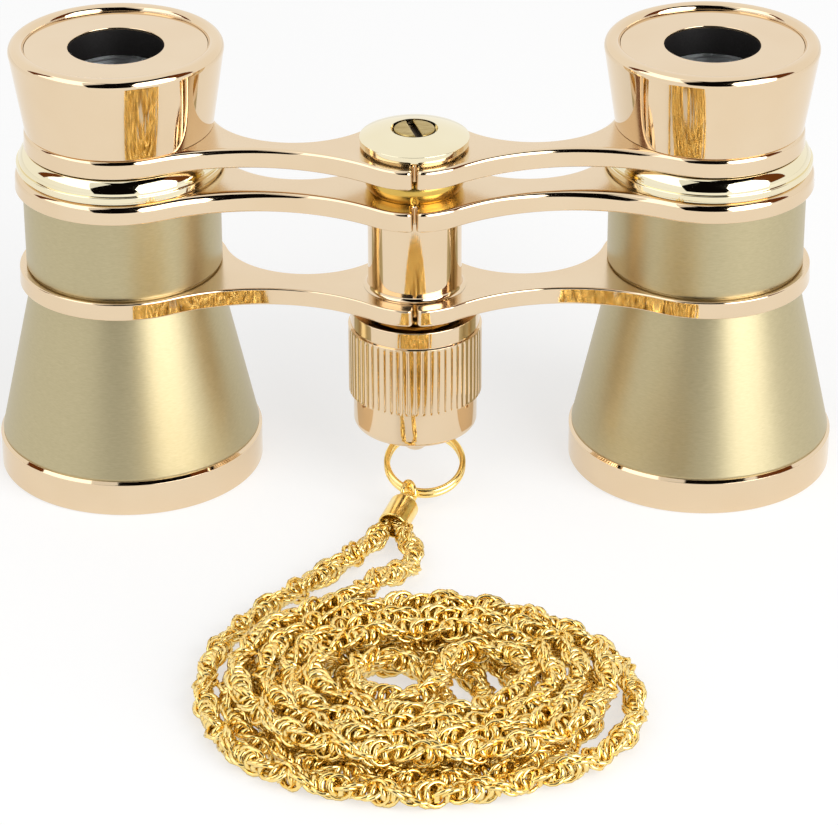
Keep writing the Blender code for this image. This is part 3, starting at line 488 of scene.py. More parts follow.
def slab(outline, heights, top_edge, foot_edge, holes=(), draft=0.0):
    """A flat plate: the outline is carried up a rounded edge profile, moved in along its own
    normals, and the flat top and bottom are filled up to the holes, whose walls are upright
    cylinders. An edge is one radius or one for each point, and the draft is how far the side leans
    in over its height."""
    bottom, top = heights
    along = np.roll(outline, -1, axis=0) - np.roll(outline, 1, axis=0)
    inward = np.column_stack([-along[:, 1], along[:, 0]])
    inward /= np.linalg.norm(inward, axis=1)[:, None]
    quarter = np.linspace(0, math.pi / 2, FINE_STEPS + 1)[:, None]
    edge = np.broadcast_to(top_edge, len(outline))[None]
    foot = np.broadcast_to(foot_edge, len(outline))[None]
    inset = [foot + HOLD, foot * (1 - np.sin(quarter)), 0 * foot, draft + 0 * edge]
    inset += [draft + edge * (1 - np.cos(quarter)), draft + edge + HOLD]
    height = [bottom + 0 * foot, bottom + foot * (1 - np.cos(quarter)), bottom + foot + HOLD]
    height += [top - edge - HOLD, top - edge * (1 - np.sin(quarter)), top + 0 * edge]
    moved = outline[None] + np.vstack(inset)[..., None] * inward[None]
    wall = np.dstack([moved, np.vstack(height)])
    sheets = [sheet(wall)]
    hole_loops = [arc(centre, radius, 0, 360, HOLE_SIDES + 1)[:-1] for centre, radius in holes]
    for loop in hole_loops:
        walls = [np.column_stack([loop, np.full(len(loop), z)]) for z in (top, bottom)]
        sheets.append(sheet(np.stack(walls)))
    for rim in (wall[-1], wall[0]):
        z = rim[0, 2]
        loops = [rim] + [np.column_stack([loop, np.full(len(loop), z)]) for loop in hole_loops]
        triangles = tessellate_polygon([[Vector(p) for p in loop] for loop in loops])
        sheets.append((np.vstack(loops), [list(t) for t in triangles]))
    return sheets


# Camera: the photograph is 838 pixels wide, and its focal length is 3760 of them

PHOTO_WIDTH, FOCAL_LENGTH = 838, 3760
CAMERA_TILT, CAMERA_ROLL, CAMERA_DISTANCE = 0.4850, -0.0029, 410.71
CAMERA_AIM = np.array([0.395, 0.0, 4.855])


def place_camera():
    """Looks along +Y and down by the tilt, at a point over the floor, from the distance that fits
    the photo."""
    ahead = np.array([0, math.cos(CAMERA_TILT), -math.sin(CAMERA_TILT)])
    over = np.array([0, math.sin(CAMERA_TILT), math.cos(CAMERA_TILT)])
    turned_right = math.cos(CAMERA_ROLL) * SIDEWAYS + math.sin(CAMERA_ROLL) * over
    turned_over = math.cos(CAMERA_ROLL) * over - math.sin(CAMERA_ROLL) * SIDEWAYS
    data = bpy.data.cameras.new("camera")
    data.sensor_width = 36.0
    data.sensor_fit = "HORIZONTAL"
    data.lens = FOCAL_LENGTH * data.sensor_width / PHOTO_WIDTH
    data.clip_start = 0.01
    camera = bpy.data.objects.new("camera", data)
    bpy.context.scene.collection.objects.link(camera)
    turn = Matrix(np.column_stack([turned_right, turned_over, -ahead]).tolist()).to_4x4()
    stand = (CAMERA_AIM - CAMERA_DISTANCE * ahead) * MM
    camera.matrix_world = Matrix.Translation(Vector(stand.tolist())) @ turn
    bpy.context.scene.camera = camera


place_camera()


# Rope chain

FERRULE_END = np.array([-1.1, -15.85, 2.2])
FERRULE_MOUTH = np.array([-2.45, -19.5, 1.65])

# The pile: its two layers' heights, its ovals' half lengths and half widths, the radius of its eye,
# where it turns back, and the angles in degrees at which each stretch begins or ends
COIL_CENTRE = np.array([1.26, -52.5])
COIL_BOTTOM, COIL_STEP = 1.0, 2.45
COIL_BOTTOM_OUTER, COIL_TOP_OUTER, COIL_TOP_INNER_WIDTH = (22.1, 18.0), (19.0, 15.4), 6.8
COIL_EYE, COIL_TURN_BACK = 4.25, 1.1
COIL_START, COIL_NARROW, COIL_TURN = 172, 2205, 2520
COIL_CLIMB = (2169, 2322)
COIL_END = 123 - 4 * 360
ANGLE_STEP = 15
CURVE_STEPS = 16

# The two leads, from the ferrule to the pile
LEFT_LEAD = [
    (-2.85, -18.7, 1.7),
    (-3.75, -20.7, 1.3),
    (-5.15, -22.9, 1.1),
    (-7.3, -25.9, 1.0),
    (-11.0, -31.2, 1.0),
    (-14.4, -35.0, 1.0),
    (-17.4, -39.6, 1.0),
    (-19.5, -44.2, 1.0),
]
RIGHT_LEAD = [
    (-1.9, -18.8, 1.75),
    (-1.15, -21.2, 1.5),
    (-0.55, -23.3, 1.1),
    (-0.5, -25.5, 1.0),
    (-1.2, -28.4, 1.3),
    (-2.8, -31.8, 2.5),
    (-4.4, -35.1, 3.4),
    (-5.8, -38.3, 3.5),
]
# How far the drawn chain lies over the route and drifts beside it, the lengths of its drifts, the
# run over which both fade in from the ferrule, the spacing of its points, and how many of them the
# cord's own path skips
LINK_LIFT, DRIFT = 0.42, 0.16
DRIFT_LENGTHS = (33.0, 19.0)
FADE_RUN = 8.0
PATH_STEP, PATH_SKIP = 0.6, 3

# Links: facets round the wire, the turn between one link and the next, the scatter of their lean,
# the size of the first ones in the ferrule with the run over which they grow to the full size, and
# the run of a full turn of the rope
LINK_FACETS = 4
LINK_CROSSING = math.radians(40)
LEAN_STRAY = 0.08
END_SIZE, END_RUN = 0.62, 3.0
LINK_TWIST = 9.2
OUTER_LINKS = {"pitch": 0.77, "radius": 1.18, "wire": 0.25, "lean": 16, "stray": 0.12, "steps": 14}
INNER_LINKS = {"pitch": 0.9, "radius": 0.7, "wire": 0.34, "lean": 65, "stray": 0.4, "steps": 10}


def angle_steps(start, end):
    """Angles from start to end in degrees, about a step apart, as radians."""
    return np.radians(np.linspace(start, end, round(abs(end - start) / ANGLE_STEP) + 1))


def oval_turns(angles, start, end, height):
    """A spiral of ovals: half length, half width and the centre's x change evenly from the first
    angle to the last."""
    share = ((angles - angles[0]) / (angles[-1] - angles[0]))[:, None]
    oval = np.array(start) + (np.array(end) - start) * share
    circle = np.column_stack([np.cos(angles), np.sin(angles)])
    flat = COIL_CENTRE + oval[:, 2:] * (1, 0) + oval[:, :2] * circle
    return np.column_stack([flat, np.full(len(angles), height)])


def smooth_through(knots):
    """A curve through the knots: on each run a cubic whose end slopes are half the step between the
    neighbours."""
    knots = np.array(knots, float)
    slope = np.gradient(knots, axis=0)
    t = (np.arange(CURVE_STEPS) / CURVE_STEPS)[None, :, None]
    run = (
        (2 * t**3 - 3 * t**2 + 1) * knots[:-1, None]
        + (t**3 - 2 * t**2 + t) * slope[:-1, None]
        + (3 * t**2 - 2 * t**3) * knots[1:, None]
        + (t**3 - t**2) * slope[1:, None]
    )
    return np.vstack([run.reshape(-1, 3), knots[-1:]])


def chain_route():
    """The chain from the ferrule and back: left lead, a spiral in on the floor to a small eye, a
    climb round the eye, a turn back beside it on top, a spiral out over the lower turns, and the
    right lead."""
    top_height = COIL_BOTTOM + COIL_STEP
    eye = (COIL_EYE, COIL_EYE, COIL_TURN_BACK - COIL_EYE)
    beside = (COIL_EYE, COIL_EYE, COIL_TURN_BACK + COIL_EYE)
    top_inner = (COIL_TURN_BACK + 2 * COIL_EYE, COIL_TOP_INNER_WIDTH, 0)
    inward = angle_steps(COIL_START, COIL_NARROW)
    round_eye = angle_steps(COIL_NARROW, COIL_TURN)[1:]
    narrowing = oval_turns(inward, (*COIL_BOTTOM_OUTER, 0), eye, COIL_BOTTOM)
    bottom = np.vstack([narrowing, oval_turns(round_eye, eye, eye, COIL_BOTTOM)])
    climb_start, climb_end = COIL_CLIMB
    climb = (np.degrees(np.r_[inward, round_eye]) - climb_start) / (climb_end - climb_start)
    climb = np.clip(climb, 0, 1)
    bottom[:, 2] += COIL_STEP * climb * climb * (3 - 2 * climb)
    turn_back = oval_turns(angle_steps(180, 0)[1:-1], beside, beside, top_height)
    top = oval_turns(angle_steps(0, COIL_END), top_inner, (*COIL_TOP_OUTER, 0), top_height)
    return smooth_through(np.vstack([LEFT_LEAD, bottom, turn_back, top, RIGHT_LEAD[::-1]]))


def even_steps(path, spacing):
    """Points at equal steps along a path, with the distance of each from its start."""
    run = np.r_[0, np.cumsum(np.linalg.norm(np.diff(path, axis=0), axis=1))]
    even = np.linspace(0, run[-1], round(run[-1] / spacing) + 1)
    return np.column_stack([np.interp(even, run, path[:, i]) for i in range(3)]), even


def rope_links(path, pitch, radius, wire, lean, stray, steps):
    """One set of links: each is a round wire ring, centred on the chain, that leans off the chain's
    direction and turns about it, a full turn to each twist, give or take the stray, and every other
    one by the crossing too. Point (a, b) is centre + (radius + wire cos b) times the ring's
    direction at a + wire sin b across the ring."""
    centre, run = even_steps(path, pitch)
    ahead = np.gradient(centre, axis=0)
    ahead /= np.linalg.norm(ahead, axis=1)[:, None]
    side = np.cross(UP, ahead)
    side /= np.linalg.norm(side, axis=1)[:, None]
    over = np.cross(ahead, side)
    random = np.random.default_rng(steps)
    turn = 2 * math.pi * run / LINK_TWIST + random.normal(0, stray, len(run))
    turn = (turn + LINK_CROSSING * (np.arange(len(run)) % 2))[:, None]
    across = np.cos(turn) * side + np.sin(turn) * over
    leaning = (math.radians(lean) + random.normal(0, LEAN_STRAY, len(run)))[:, None]
    along = np.cos(leaning) * ahead + np.sin(leaning) * np.cross(ahead, across)
    face = np.cross(along, across)
    from_end = np.minimum(run, run[-1] - run)
    size = np.clip(END_SIZE + (1 - END_SIZE) * from_end / END_RUN, 0, 1)[:, None, None, None]
    a = np.linspace(0, 2 * math.pi, steps, endpoint=False)[None, :, None, None]
    b = np.linspace(0, 2 * math.pi, LINK_FACETS, endpoint=False)[None, None, :, None]
    along, across, face, centre = (v[:, None, None] for v in (along, across, face, centre))
    outward = np.cos(a) * along + np.sin(a) * across
    rings = centre + size * ((radius + wire * np.cos(b)) * outward + wire * np.sin(b) * face)
    grid = np.arange(steps * LINK_FACETS).reshape(steps, LINK_FACETS)
    grid = np.vstack([grid, grid[:1]])
    grid = np.hstack([grid, grid[:, :1]])
    quads = np.stack([grid[:-1, :-1], grid[1:, :-1], grid[1:, 1:], grid[:-1, 1:]], axis=-1)
    first = np.arange(len(run))[:, None, None] * steps * LINK_FACETS
    faces = (first + quads.reshape(-1, 4)).reshape(-1, 4)
    return rings.reshape(-1, 3), faces.tolist()


def lay_chain():
    """The whole chain, lifted so that its links lie on the floor, with a slow drift from side to
    side. The outer links give the rope its swells, and the inner ones fill it."""
    path, run = even_steps(chain_route(), PATH_STEP)
    free = np.clip(np.minimum(run, run[-1] - run) / FADE_RUN, 0, 1)
    ahead = np.gradient(path[:, :2], axis=0)
    ahead /= np.linalg.norm(ahead, axis=1)[:, None]
    drift = DRIFT * free * sum(np.sin(2 * math.pi * run / length) for length in DRIFT_LENGTHS)
    path[:, :2] += drift[:, None] * ahead[:, ::-1] * (-1, 1)
    path[:, 2] += LINK_LIFT * free
    chain = make_piece(
        "rope_chain",
        [rope_links(path, **links) for links in (OUTER_LINKS, INNER_LINKS)],
        "gold_chain",
        "chain",
        ("chain_coil", "chain_lead_left", "chain_lead_right"),
        weld=False,
    )
    chain.data.set_sharp_from_angle(angle=math.pi)
    return chain, path[::PATH_SKIP], run[-1]


# The ferrule's wall and neck, and the jump rings on it: centre, radius and the direction each one
# faces
FERRULE_RADIUS, FERRULE_BORE, FERRULE_DEPTH = 1.6, (1.38, 1.3), 2.8
NECK_RADIUS, NECK_LENGTH = 0.36, 1.5
JUMP_WIRE = 0.26
JUMP_RINGS = (
    ((-0.7, -13.0, 2.1), 1.15, (0.85, 0.5, -0.2)),
    ((-0.85, -13.5, 2.35), 0.8, (0.8, -0.5, 0.4)),
    ((-0.75, -14.3, 2.4), 0.7, (0.3, 0.35, 0.9)),
)


def make_ferrule():
    """The end cap of the chain, spun about its own leaning axis, with a neck at its closed end, and
    the knot of three jump rings that ties the neck to the split ring."""
    reach = FERRULE_MOUTH - FERRULE_END
    length = float(np.linalg.norm(reach))
    cup = [
        (0, -NECK_LENGTH),
        (NECK_RADIUS, -NECK_LENGTH, 0.1),
        (NECK_RADIUS, 0.0),
        (FERRULE_RADIUS, 0, 0.45),
        (FERRULE_RADIUS, length, 0.12),
        (FERRULE_BORE[0], length, 0.08),
        (FERRULE_BORE[1], length - FERRULE_DEPTH),
        (0, length - FERRULE_DEPTH),
    ]
    sheets = [turned(cup, axis_at(FERRULE_END, reach), closed=False, sides=64)]
    for centre, radius, facing in JUMP_RINGS:
        wire = [(*p, 0.0) for p in arc((radius, 0.0), JUMP_WIRE, 0, 360, WIRE_FACETS + 1)[:-1]]
        sheets.append(turned(wire, axis_at(centre, facing), sides=48))
    return make_piece("chain_ferrule", sheets, "gold_chain", "chain", ("ferrule",))


# The split ring: its radius, its wire, the step from turn to turn and the angle of half its ramp,
# then the lean of its plane, how far it hangs to one side, and how far it is drawn up into the
# stud's eye
RING_RADIUS, RING_WIRE, RING_STEP, RING_RAMP = 4.05, 0.33, 0.66, 0.5
RING_TILT, RING_OFFSET, RING_RISE = math.radians(24.5), 1.0, 0.26
RING_POINTS = 240
EYE_HEIGHT, EYE_HOLE, EYE_BALL = 5.2, 1.05, 1.55


def make_split_ring():
    """Two turns of wire in a leaning plane; the short ramp between the turns passes through the
    stud's eye."""
    slack = math.asin(RING_OFFSET / RING_RADIUS)
    down = np.array([0, -math.cos(RING_TILT), -math.sin(RING_TILT)])
    up = np.array([0, -math.sin(RING_TILT), math.cos(RING_TILT)])
    eye = np.array([0, CENTRE_Y, EYE_HEIGHT])
    centre = eye + RING_OFFSET * SIDEWAYS + (RING_RADIUS * math.cos(slack) - RING_RISE) * down
    turns = np.linspace(RING_RAMP, 4 * math.pi - RING_RAMP, RING_POINTS)
    share = np.clip((turns - 2 * math.pi) / (2 * RING_RAMP) + 0.5, 0, 1)
    lift = RING_STEP * (share * share * (3 - 2 * share) - 0.5)
    angle = turns - math.pi
    circle = np.cos(angle)[:, None] * down + np.sin(angle)[:, None] * SIDEWAYS
    path = centre + RING_RADIUS * circle + lift[:, None] * up
    sheets = [swept(path, RING_WIRE)]
    return make_piece("chain_split_ring", sheets, "gold_chain", "chain", ("split_ring",))


def make_stud():
    """The swivel eye under the knob: a ball with a hole along X, spun about X, on an upright neck
    with a rivet head."""
    half = math.sqrt(EYE_BALL**2 - EYE_HOLE**2)
    reach = math.degrees(math.asin(half / EYE_BALL))
    dome = [(r, x) for x, r in arc((0, 0), EYE_BALL, 90 + reach, 90 - reach, 25)]
    eye = [(EYE_HOLE, half, 0.1), (EYE_HOLE, -half, 0.1), *dome[1:-1]]
    neck = [(0, 6.2), (0.6, 6.2), (0.6, 9.6), (1.6, 9.6, 0.1), (1.6, 10.2, 0.15), (0, 10.2)]
    sheets = [
        turned(eye, axis_at((0, CENTRE_Y, EYE_HEIGHT), SIDEWAYS), sides=48),
        turned(neck, axis_at((0, CENTRE_Y, 0)), closed=False, sides=48),
    ]
    make_piece("swivel_stud", sheets, "rose_gold", "chain", ("chain_stud",))


rope, rope_path, rope_length = lay_chain()
ferrule = make_ferrule()
split_ring = make_split_ring()
make_stud()


# Barrels: the heights of the three plates' undersides and tops, and of the eyepieces' tops

LOWER_PLATE, MIDDLE_PLATE, TOP_PLATE = (21.65, 23.55), (32.6, 34.7), (37.25, 39.3)
CUP_TOP = 48.6


def make_barrel(side):
    """The fixed turned pieces of one barrel, from the rim on the floor up to the collar."""
    axis = axis_at((BARREL_X[side], 0, 0))
    rim = [
        (12.3, 0, 0.1),
        (14.24, 0, 0.3),
        (14.24, 3.66, 0.04),
        (13.95, 3.95, 0.04),
        (13.5, 3.95),
        (13.3, 3.5),
        (13.3, 1.0),
        (12.3, 1.0),
    ]
    cone = [
        (12.5, 1.3),
        (13.0, 1.3),
        (13.0, 3.85),
        (13.85, 3.85, 0.05),
        (13.93, 4.2, 0.05),
        (10.05, 21.6, 0.05),
        (9.5, 21.6),
        (9.5, 17.35),
        (11.8, 5.7),
        (12.5, 5.7),
    ]
    sleeve = [
        (8.75, 17.65),
        (9.25, 17.65),
        (9.25, 23.57),
        (10.2, 23.57),
        (10.2, 23.75),
        (10.45, 23.8, 0.04),
        (10.45, 32.55),
        (9.25, 32.55),
        (9.25, 36.2),
        (8.75, 36.2),
    ]
    collar = [
        (9.5, 34.72),
        (10.7, 34.72),
        (10.7, 34.95),
        (11.0, 34.97, 0.06),
        (11.0, 35.62, 0.12),
        (10.76, 35.62),
        *arc((8.81, 35.51), 1.955, 4.4, 54.4, 20),
        (9.5, 37.15),
    ]
    lens = [
        (0, 2.6),
        *arc((0, 3.2), 12.2, 270, 360, 18, rise=0.6)[1:],
        (12.2, 5.4),
        (11.5, 5.4),
        *arc((0, 5.4), 11.5, 0, 90, 18, rise=0.6)[1:],
    ]
    retainer = [(11.4, 1.6, 0.1), (12.2, 1.6), (12.2, 2.8), (11.4, 2.8, 0.1)]
    for name, profile, finish, closed in (
        ("objective_rim", rim, "rose_gold", True),
        ("objective_cone", cone, "champagne_satin", True),
        ("upper_sleeve", sleeve, "champagne_satin", True),
        ("guide_collar", collar, "yellow_gold", True),
        ("objective_lens", lens, "lens_glass", False),
        ("objective_retainer", retainer, "black_paint", True),
    ):
        node = f"{side}_{name}"
        sheets = [turned(profile, axis, closed)]
        make_piece(f"{node}_smooth", sheets, finish, "frame", (node,))


def make_eyepiece(side):
    """The turned pieces of one eyepiece: flared cup with a rounded lip, recessed disc with the eye
    hole, black cell, hollow lens and the black lining of the draw tube."""
    axis = axis_at((BARREL_X[side], 0, 0))
    cup = [
        (8.2, 39.33),
        (9.95, 39.33, 0.05),
        *arc((10.45, CUP_TOP - 0.8), 0.8, -8.7, 90, 22),
        *arc((10.2, CUP_TOP - 0.6), 0.6, 90, 180, 16),
        (9.6, 46.0),
        (8.2, 46.0),
    ]
    disc = [(5.05, 47.8), (5.6, 46.3), (9.57, 46.3), (9.57, 48.05, 0.05), (5.0, 48.05, 0.1)]
    cell = [
        (6.8, 41.2),
        (7.9, 41.2),
        (7.9, 46.0),
        (5.5, 46.0),
        (5.1, 47.75),
        (5.04, 47.75),
        (5.04, 44.9),
        (6.8, 44.9),
    ]
    lens = [(0, 42.7), (6.5, 42.7), (6.5, 44.6), *arc((0, 44.6), 5.0, 0, -90, 14, rise=0.6)]
    lining = [(7.25, 18.1), (7.37, 18.1), (7.37, 40.8), (7.25, 40.8)]
    for name, profile, finish, closed in (
        ("eyepiece_cup", cup, "rose_gold", True),
        ("eyepiece_insert", disc, "rose_gold", True),
        ("lens_cell", cell, "black_paint", True),
        ("eye_lens", lens, "lens_glass", False),
    ):
        node = f"{side}_{name}"
        sheets = [turned(profile, axis, closed)]
        make_piece(f"{node}_smooth", sheets, finish, "ocular", (node,))
    sheets = [turned(lining, axis, sides=64)]
    make_piece(f"{side}_draw_tube_lining", sheets, "black_paint", "ocular")


for side in BARREL_X:
    make_barrel(side)
    make_eyepiece(side)


# Bridge plates and the centre axis

# How far a plate's sides lean in, the distances from the centre between which its edges change
# their radius, and how upright the normal of a flat face is
PLATE_DRAFT = 0.06
EDGE_CHANGE = (9.0, 21.0)
FLAT_NORMAL = 0.99


def make_bridge(name, heights, arcs, edges, barrel_hole, centre_hole, body):
    """A bridge plate with its two barrel holes and its centre hole. Its edges are rounder at the
    barrel rings than at the boss, or the other way about: each edge has a radius at the boss and
    one at the rings."""
    holes = [((x, 0.0), barrel_hole) for x in BARREL_X.values()]
    holes.append(((0.0, CENTRE_Y), centre_hole))
    outline = bridge_outline(arcs)
    start, end = EDGE_CHANGE
    to_ring = np.clip((np.abs(outline[:, 0]) - start) / (end - start), 0, 1)
    top_edge, foot_edge = (boss + (ring - boss) * to_ring for boss, ring in edges)
    sheets = slab(outline, heights, top_edge, foot_edge, holes, PLATE_DRAFT)
    finish = "lapped_rose_gold"
    plate = make_piece(f"{name}_smooth", sheets, finish, body, (name,)).data
    normals = np.empty(3 * len(plate.polygons))
    plate.polygons.foreach_get("normal", normals)
    flat = np.abs(normals[2::3]) > FLAT_NORMAL
    plate.attributes.new("lapped", "FLOAT", "FACE").data.foreach_set("value", flat.astype(float))


make_bridge(
    "lower_plate",
    LOWER_PLATE,
    {"ring": 11.26, "boss": 7.1, "front": 19.2, "back": 9.0},
    edges=((0.2, 0.2), (0.35, 0.12)),
    barrel_hole=9.55,
    centre_hole=3.7,
    body="frame",
)
make_bridge(
    "middle_plate",
    MIDDLE_PLATE,
    {"ring": 11.26, "boss": 7.15, "front": 20.75, "back": 8.8},
    edges=((0.4, 0.9), (0.12, 0.12)),
    barrel_hole=9.55,
    centre_hole=2.0,
    body="frame",
)
make_bridge(
    "top_plate",
    TOP_PLATE,
    {"ring": 10.1, "boss": 7.0, "front": 21.5, "back": 9.0},
    edges=((0.4, 0.6), (0.15, 0.12)),
    barrel_hole=8.2,
    centre_hole=2.0,
    body="ocular",
)


def make_centre():
    """The turned pieces on the centre axis: column, bush, and domed cap with its pocket for the
    screw."""
    axis = axis_at((0, CENTRE_Y, 0))
    column = [
        (4.2, 23.57),
        (5.44, 23.57),
        *arc((5.44, 24.07), 0.5, 270, 180, 9)[1:],
        (4.94, 32.57),
        (2.0, 32.57),
        (2.0, 28.5),
        (4.2, 28.5),
    ]
    bush = [
        (2.0, 34.72),
        *arc((3.25, 35.95), 2.0, -37.5, 39, 18),
        (2.0, 37.21),
    ]
    cap = [
        (1.25, 39.35),
        (4.9, 39.35),
        (5.0, 39.6, 0.03),
        (5.67, 39.62, 0.06),
        (5.71, 40.36, 0.05),
        *arc((0.0, 39.336), 6.6, 30.7, 68.2, 16, rise=2.05),
        (2.4, 40.4, 0.05),
        (1.25, 40.25),
    ]
    for name, profile, finish, slot, body in (
        ("centre_column", column, "rose_gold", "rose_gold", "frame"),
        ("centre_bush", bush, "brass", "yellow_gold", "frame"),
        ("bridge_cap", cap, "yellow_gold", "yellow_gold", "ocular"),
    ):
        make_piece(f"{name}_smooth", [turned(profile, axis)], finish, body, (name,))


# The screw's slot and head, and the heights of the slot's floor and the head's top
SLOT_HALF, SLOT_ANGLE, HEAD_RADIUS = 0.36, math.radians(104), 2.15
SLOT_FLOOR, HEAD_TOP = 40.6, 41.3
OVERLAP = 0.02


def make_screw():
    """The cap screw: a shank with a flat base, and on it two D-shaped halves of the head on either
    side of the slot."""
    shank = [
        (0, 33.4),
        (0.95, 33.4),
        (0.95, 40.45),
        (HEAD_RADIUS, 40.45),
        (HEAD_RADIUS, SLOT_FLOOR),
        (0, SLOT_FLOOR),
    ]
    sheets = [turned(shank, axis_at((0, CENTRE_Y, 0)), closed=False, sides=96)]
    start = math.degrees(math.asin(SLOT_HALF / HEAD_RADIUS))
    half = arc((0, 0), HEAD_RADIUS, start, 180 - start, 49)
    across = np.linspace(half[-1, 0], half[0, 0], 25)[1:-1]
    chord = np.column_stack([across, np.full(len(across), SLOT_HALF)])
    outline = np.vstack([half, chord])
    for turn in (SLOT_ANGLE, SLOT_ANGLE + math.pi):
        spin = np.array([[math.cos(turn), math.sin(turn)], [-math.sin(turn), math.cos(turn)]])
        heights = (SLOT_FLOOR - OVERLAP, HEAD_TOP)
        sheets += slab(outline @ spin + (0, CENTRE_Y), heights, top_edge=0.22, foot_edge=0.02)
    make_piece("cap_screw_smooth", sheets, "antique_brass", "ocular", ("cap_screw",))


# The knob's flutes: their number and depth, the heights between which they run, how sharp their
# grooves are, the runs over which they fade out at the foot and the head, and the facets in each
FLUTES = 54
FLUTE_DEPTH = 0.12
FLUTE_ENDS = (11.3, 18.95)
FLUTE_SHARPNESS = 0.4
FLUTE_FADES = (0.15, 0.1)
FLUTE_FACETS = 12


def flute_dip(height, angle):
    """How far the fluted band lies under its crests: broad ridges with a narrow groove between each
    two, fading out over a short run at both ends of the band."""
    ridge = 1 - np.abs(np.cos(FLUTES / 2 * angle)) ** FLUTE_SHARPNESS
    foot = np.clip((height - FLUTE_ENDS[0]) / FLUTE_FADES[0], 0, 1)
    head = np.clip((FLUTE_ENDS[1] - height) / FLUTE_FADES[1], 0, 1)
    return FLUTE_DEPTH * ridge * foot * head


def make_knob():
    """The focus knob: plain foot, fluted band with a smooth shoulder, plain head, and the bore for
    the works."""
    outside = [
        (0.95, 7.0),
        (6.6, 7.0, 0.95),
        (6.6, 11.05, 0.03),
        (7.1, 11.25, 0.06),
        (7.1, 11.5),
        (7.1, 18.6),
        (7.1, 18.97, 0.06),
        (6.85, 19.03, 0.02),
        (6.85, 20.85, 0.08),
        (3.7, 20.85),
    ]
    bore = [(3.7, 20.85), (3.7, 14.8), (2.1, 14.8), (2.1, 9.3), (0.95, 9.3), (0.95, 7.0)]
    axis = axis_at((0, CENTRE_Y, 0))
    sides = FLUTES * FLUTE_FACETS
    sheets = [
        turned(outside, axis, closed=False, sides=sides, dip=flute_dip),
        turned(bore, axis, closed=False, sides=sides),
    ]
    make_piece("focus_knob_smooth", sheets, "rose_gold", "knob", ("focus_knob",))


make_centre()
make_screw()
make_knob()


# Works that stay as the part's own solids get their finish here


def finish_works():
    """Gives each solid that still shows the finish of its slot."""
    works = {
        "felt_bush": "black_felt",
        "draw_tube": "turned_brass",
        "eye_lens_ring": "black_paint",
        "thrust_washer": "turned_brass",
        "focus_rod": "turned_brass",
        "focus_nut": "turned_brass",
        "retaining_clip": "turned_brass",
    }
    for name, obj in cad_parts.items():
        finish = works.get(name.removeprefix("left_").removeprefix("right_"))
        if finish:
            obj.data.materials.clear()
            obj.data.materials.append(FINISHES[finish])


finish_works()


# Studio: the floor's own white, its share of shadow and its matt tone, its half width in metres,
# and the point over it that the cards face

FLOOR_WHITE, FLOOR_SHADOW, FLOOR_MATT = 0.6, 0.42, 0.85
FLOOR_REACH = 3.0
CARD_AIM = np.array([0, 0, 0.02])
CORNERS = ((-1, -1), (1, -1), (1, 1), (-1, 1))


def stage_quad(name, corners, material):
    """A rectangle of the studio, from its four corners in metres."""
    mesh = bpy.data.meshes.new(name)
    mesh.from_pydata([tuple(corner) for corner in corners], [], [(0, 1, 2, 3)])
    mesh.materials.append(material)
    quad = bpy.data.objects.new(name, mesh)
    bpy.context.scene.collection.objects.link(quad)
    return quad


def make_floor():
    """A wide plain floor: white to the eye and in reflections, with the object's shadow on it at
    part strength, and a plain pale matt to other light."""
    material, tree = blank_material("white_paper_sweep")
    path = add_node(tree, "ShaderNodeLightPath").outputs
    seen = path["Is Camera Ray"]
    for ray in ("Is Glossy Ray", "Is Transmission Ray"):
        either = {0: seen, 1: path[ray]}
        seen = add_node(tree, "ShaderNodeMath", either, operation="MAXIMUM").outputs[0]
    matt, soft = (
        add_node(tree, "ShaderNodeBsdfDiffuse", {"Color": (tone, tone, tone, 1)}).outputs[0]
        for tone in (FLOOR_MATT, FLOOR_SHADOW)
    )
    glow = add_node(tree, "ShaderNodeEmission", {"Color": (1, 1, 1, 1), "Strength": FLOOR_WHITE})
    both = add_node(tree, "ShaderNodeAddShader", {0: soft, 1: glow.outputs[0]}).outputs[0]
    mix = add_node(tree, "ShaderNodeMixShader", {0: seen, 1: matt, 2: both}).outputs[0]
    add_node(tree, "ShaderNodeOutputMaterial", {"Surface": mix})
    stage_quad("floor", [(x * FLOOR_REACH, y * FLOOR_REACH, 0) for x, y in CORNERS], material)


def direction(azimuth, elevation):
    """The direction at an azimuth right of the camera's side and an elevation, both in degrees."""
    a, e = math.radians(azimuth), math.radians(elevation)
    return np.array([math.sin(a) * math.cos(e), -math.cos(a) * math.cos(e), math.sin(e)])


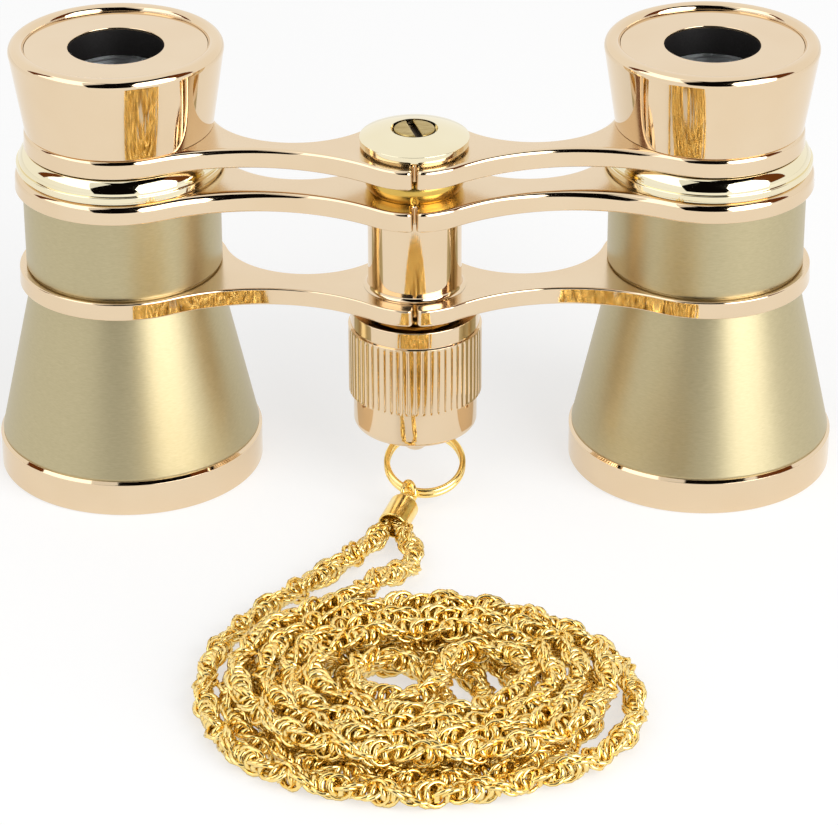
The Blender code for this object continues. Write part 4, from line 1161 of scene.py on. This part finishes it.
def make_card(name, azimuth, elevation, distance, width, height, tone):
    """A dark card that faces the object. Only reflections see it."""
    out = direction(azimuth, elevation)
    side = np.cross(UP, out)
    side /= np.linalg.norm(side)
    over = np.cross(out, side)
    centre = out * distance + CARD_AIM
    corners = [centre + x * side * width / 2 + y * over * height / 2 for x, y in CORNERS]
    material, tree = blank_material(name)
    glow = add_node(tree, "ShaderNodeEmission", {"Color": linear(tone), "Strength": 1.0})
    add_node(tree, "ShaderNodeOutputMaterial", {"Surface": glow.outputs[0]})
    card = stage_quad(name, corners, material)
    card.visible_camera = False
    card.visible_diffuse = False
    card.visible_shadow = False


def make_softbox(name, azimuth, elevation, distance, width, height, power):
    """A soft rectangular lamp that faces the object."""
    out = Vector(direction(azimuth, elevation).tolist())
    data = bpy.data.lights.new(name, "AREA")
    data.shape = "RECTANGLE"
    data.size, data.size_y = width, height
    data.energy = power
    lamp = bpy.data.objects.new(name, data)
    lamp.location = out * distance
    lamp.rotation_euler = out.to_track_quat("Z", "Y").to_euler()
    bpy.context.scene.collection.objects.link(lamp)


def make_world():
    """An even white room: white to the eye and in reflections, dimmer as light on matt surfaces."""
    world = bpy.data.worlds.new("white_room")
    bpy.context.scene.world = world
    world.use_nodes = True
    tree = world.node_tree
    tree.nodes.clear()
    matt = add_node(tree, "ShaderNodeLightPath").outputs["Is Diffuse Ray"]
    strength = spread(tree, matt, low=1.0, high=0.5, start=0.0, end=1.0)
    sky = add_node(tree, "ShaderNodeBackground", {"Color": (1, 1, 1, 1), "Strength": strength})
    add_node(tree, "ShaderNodeOutputWorld", {"Surface": sky.outputs[0]})


make_floor()
make_world()
DARK, BROWN = "0A0706", "6B3A18"
make_card("dark_centre", -4.5, 35, distance=1.2, width=1.14, height=1.68, tone=DARK)
make_card("dark_over_right", 46, 64, distance=1.25, width=1.1, height=0.5, tone=DARK)
make_card("brown_right", 80, 38, distance=1.25, width=0.5, height=1.2, tone=BROWN)
make_card("brown_left", -97, 34, distance=1.25, width=0.26, height=0.8, tone=BROWN)
make_softbox("softbox_left", -58.5, 46.5, distance=1.2, width=1.3, height=0.95, power=3.4)
make_softbox("softbox_right", 44, 24.5, distance=1.2, width=1.0, height=1.1, power=13.5)

bpy.context.scene.view_settings.view_transform = "Standard"
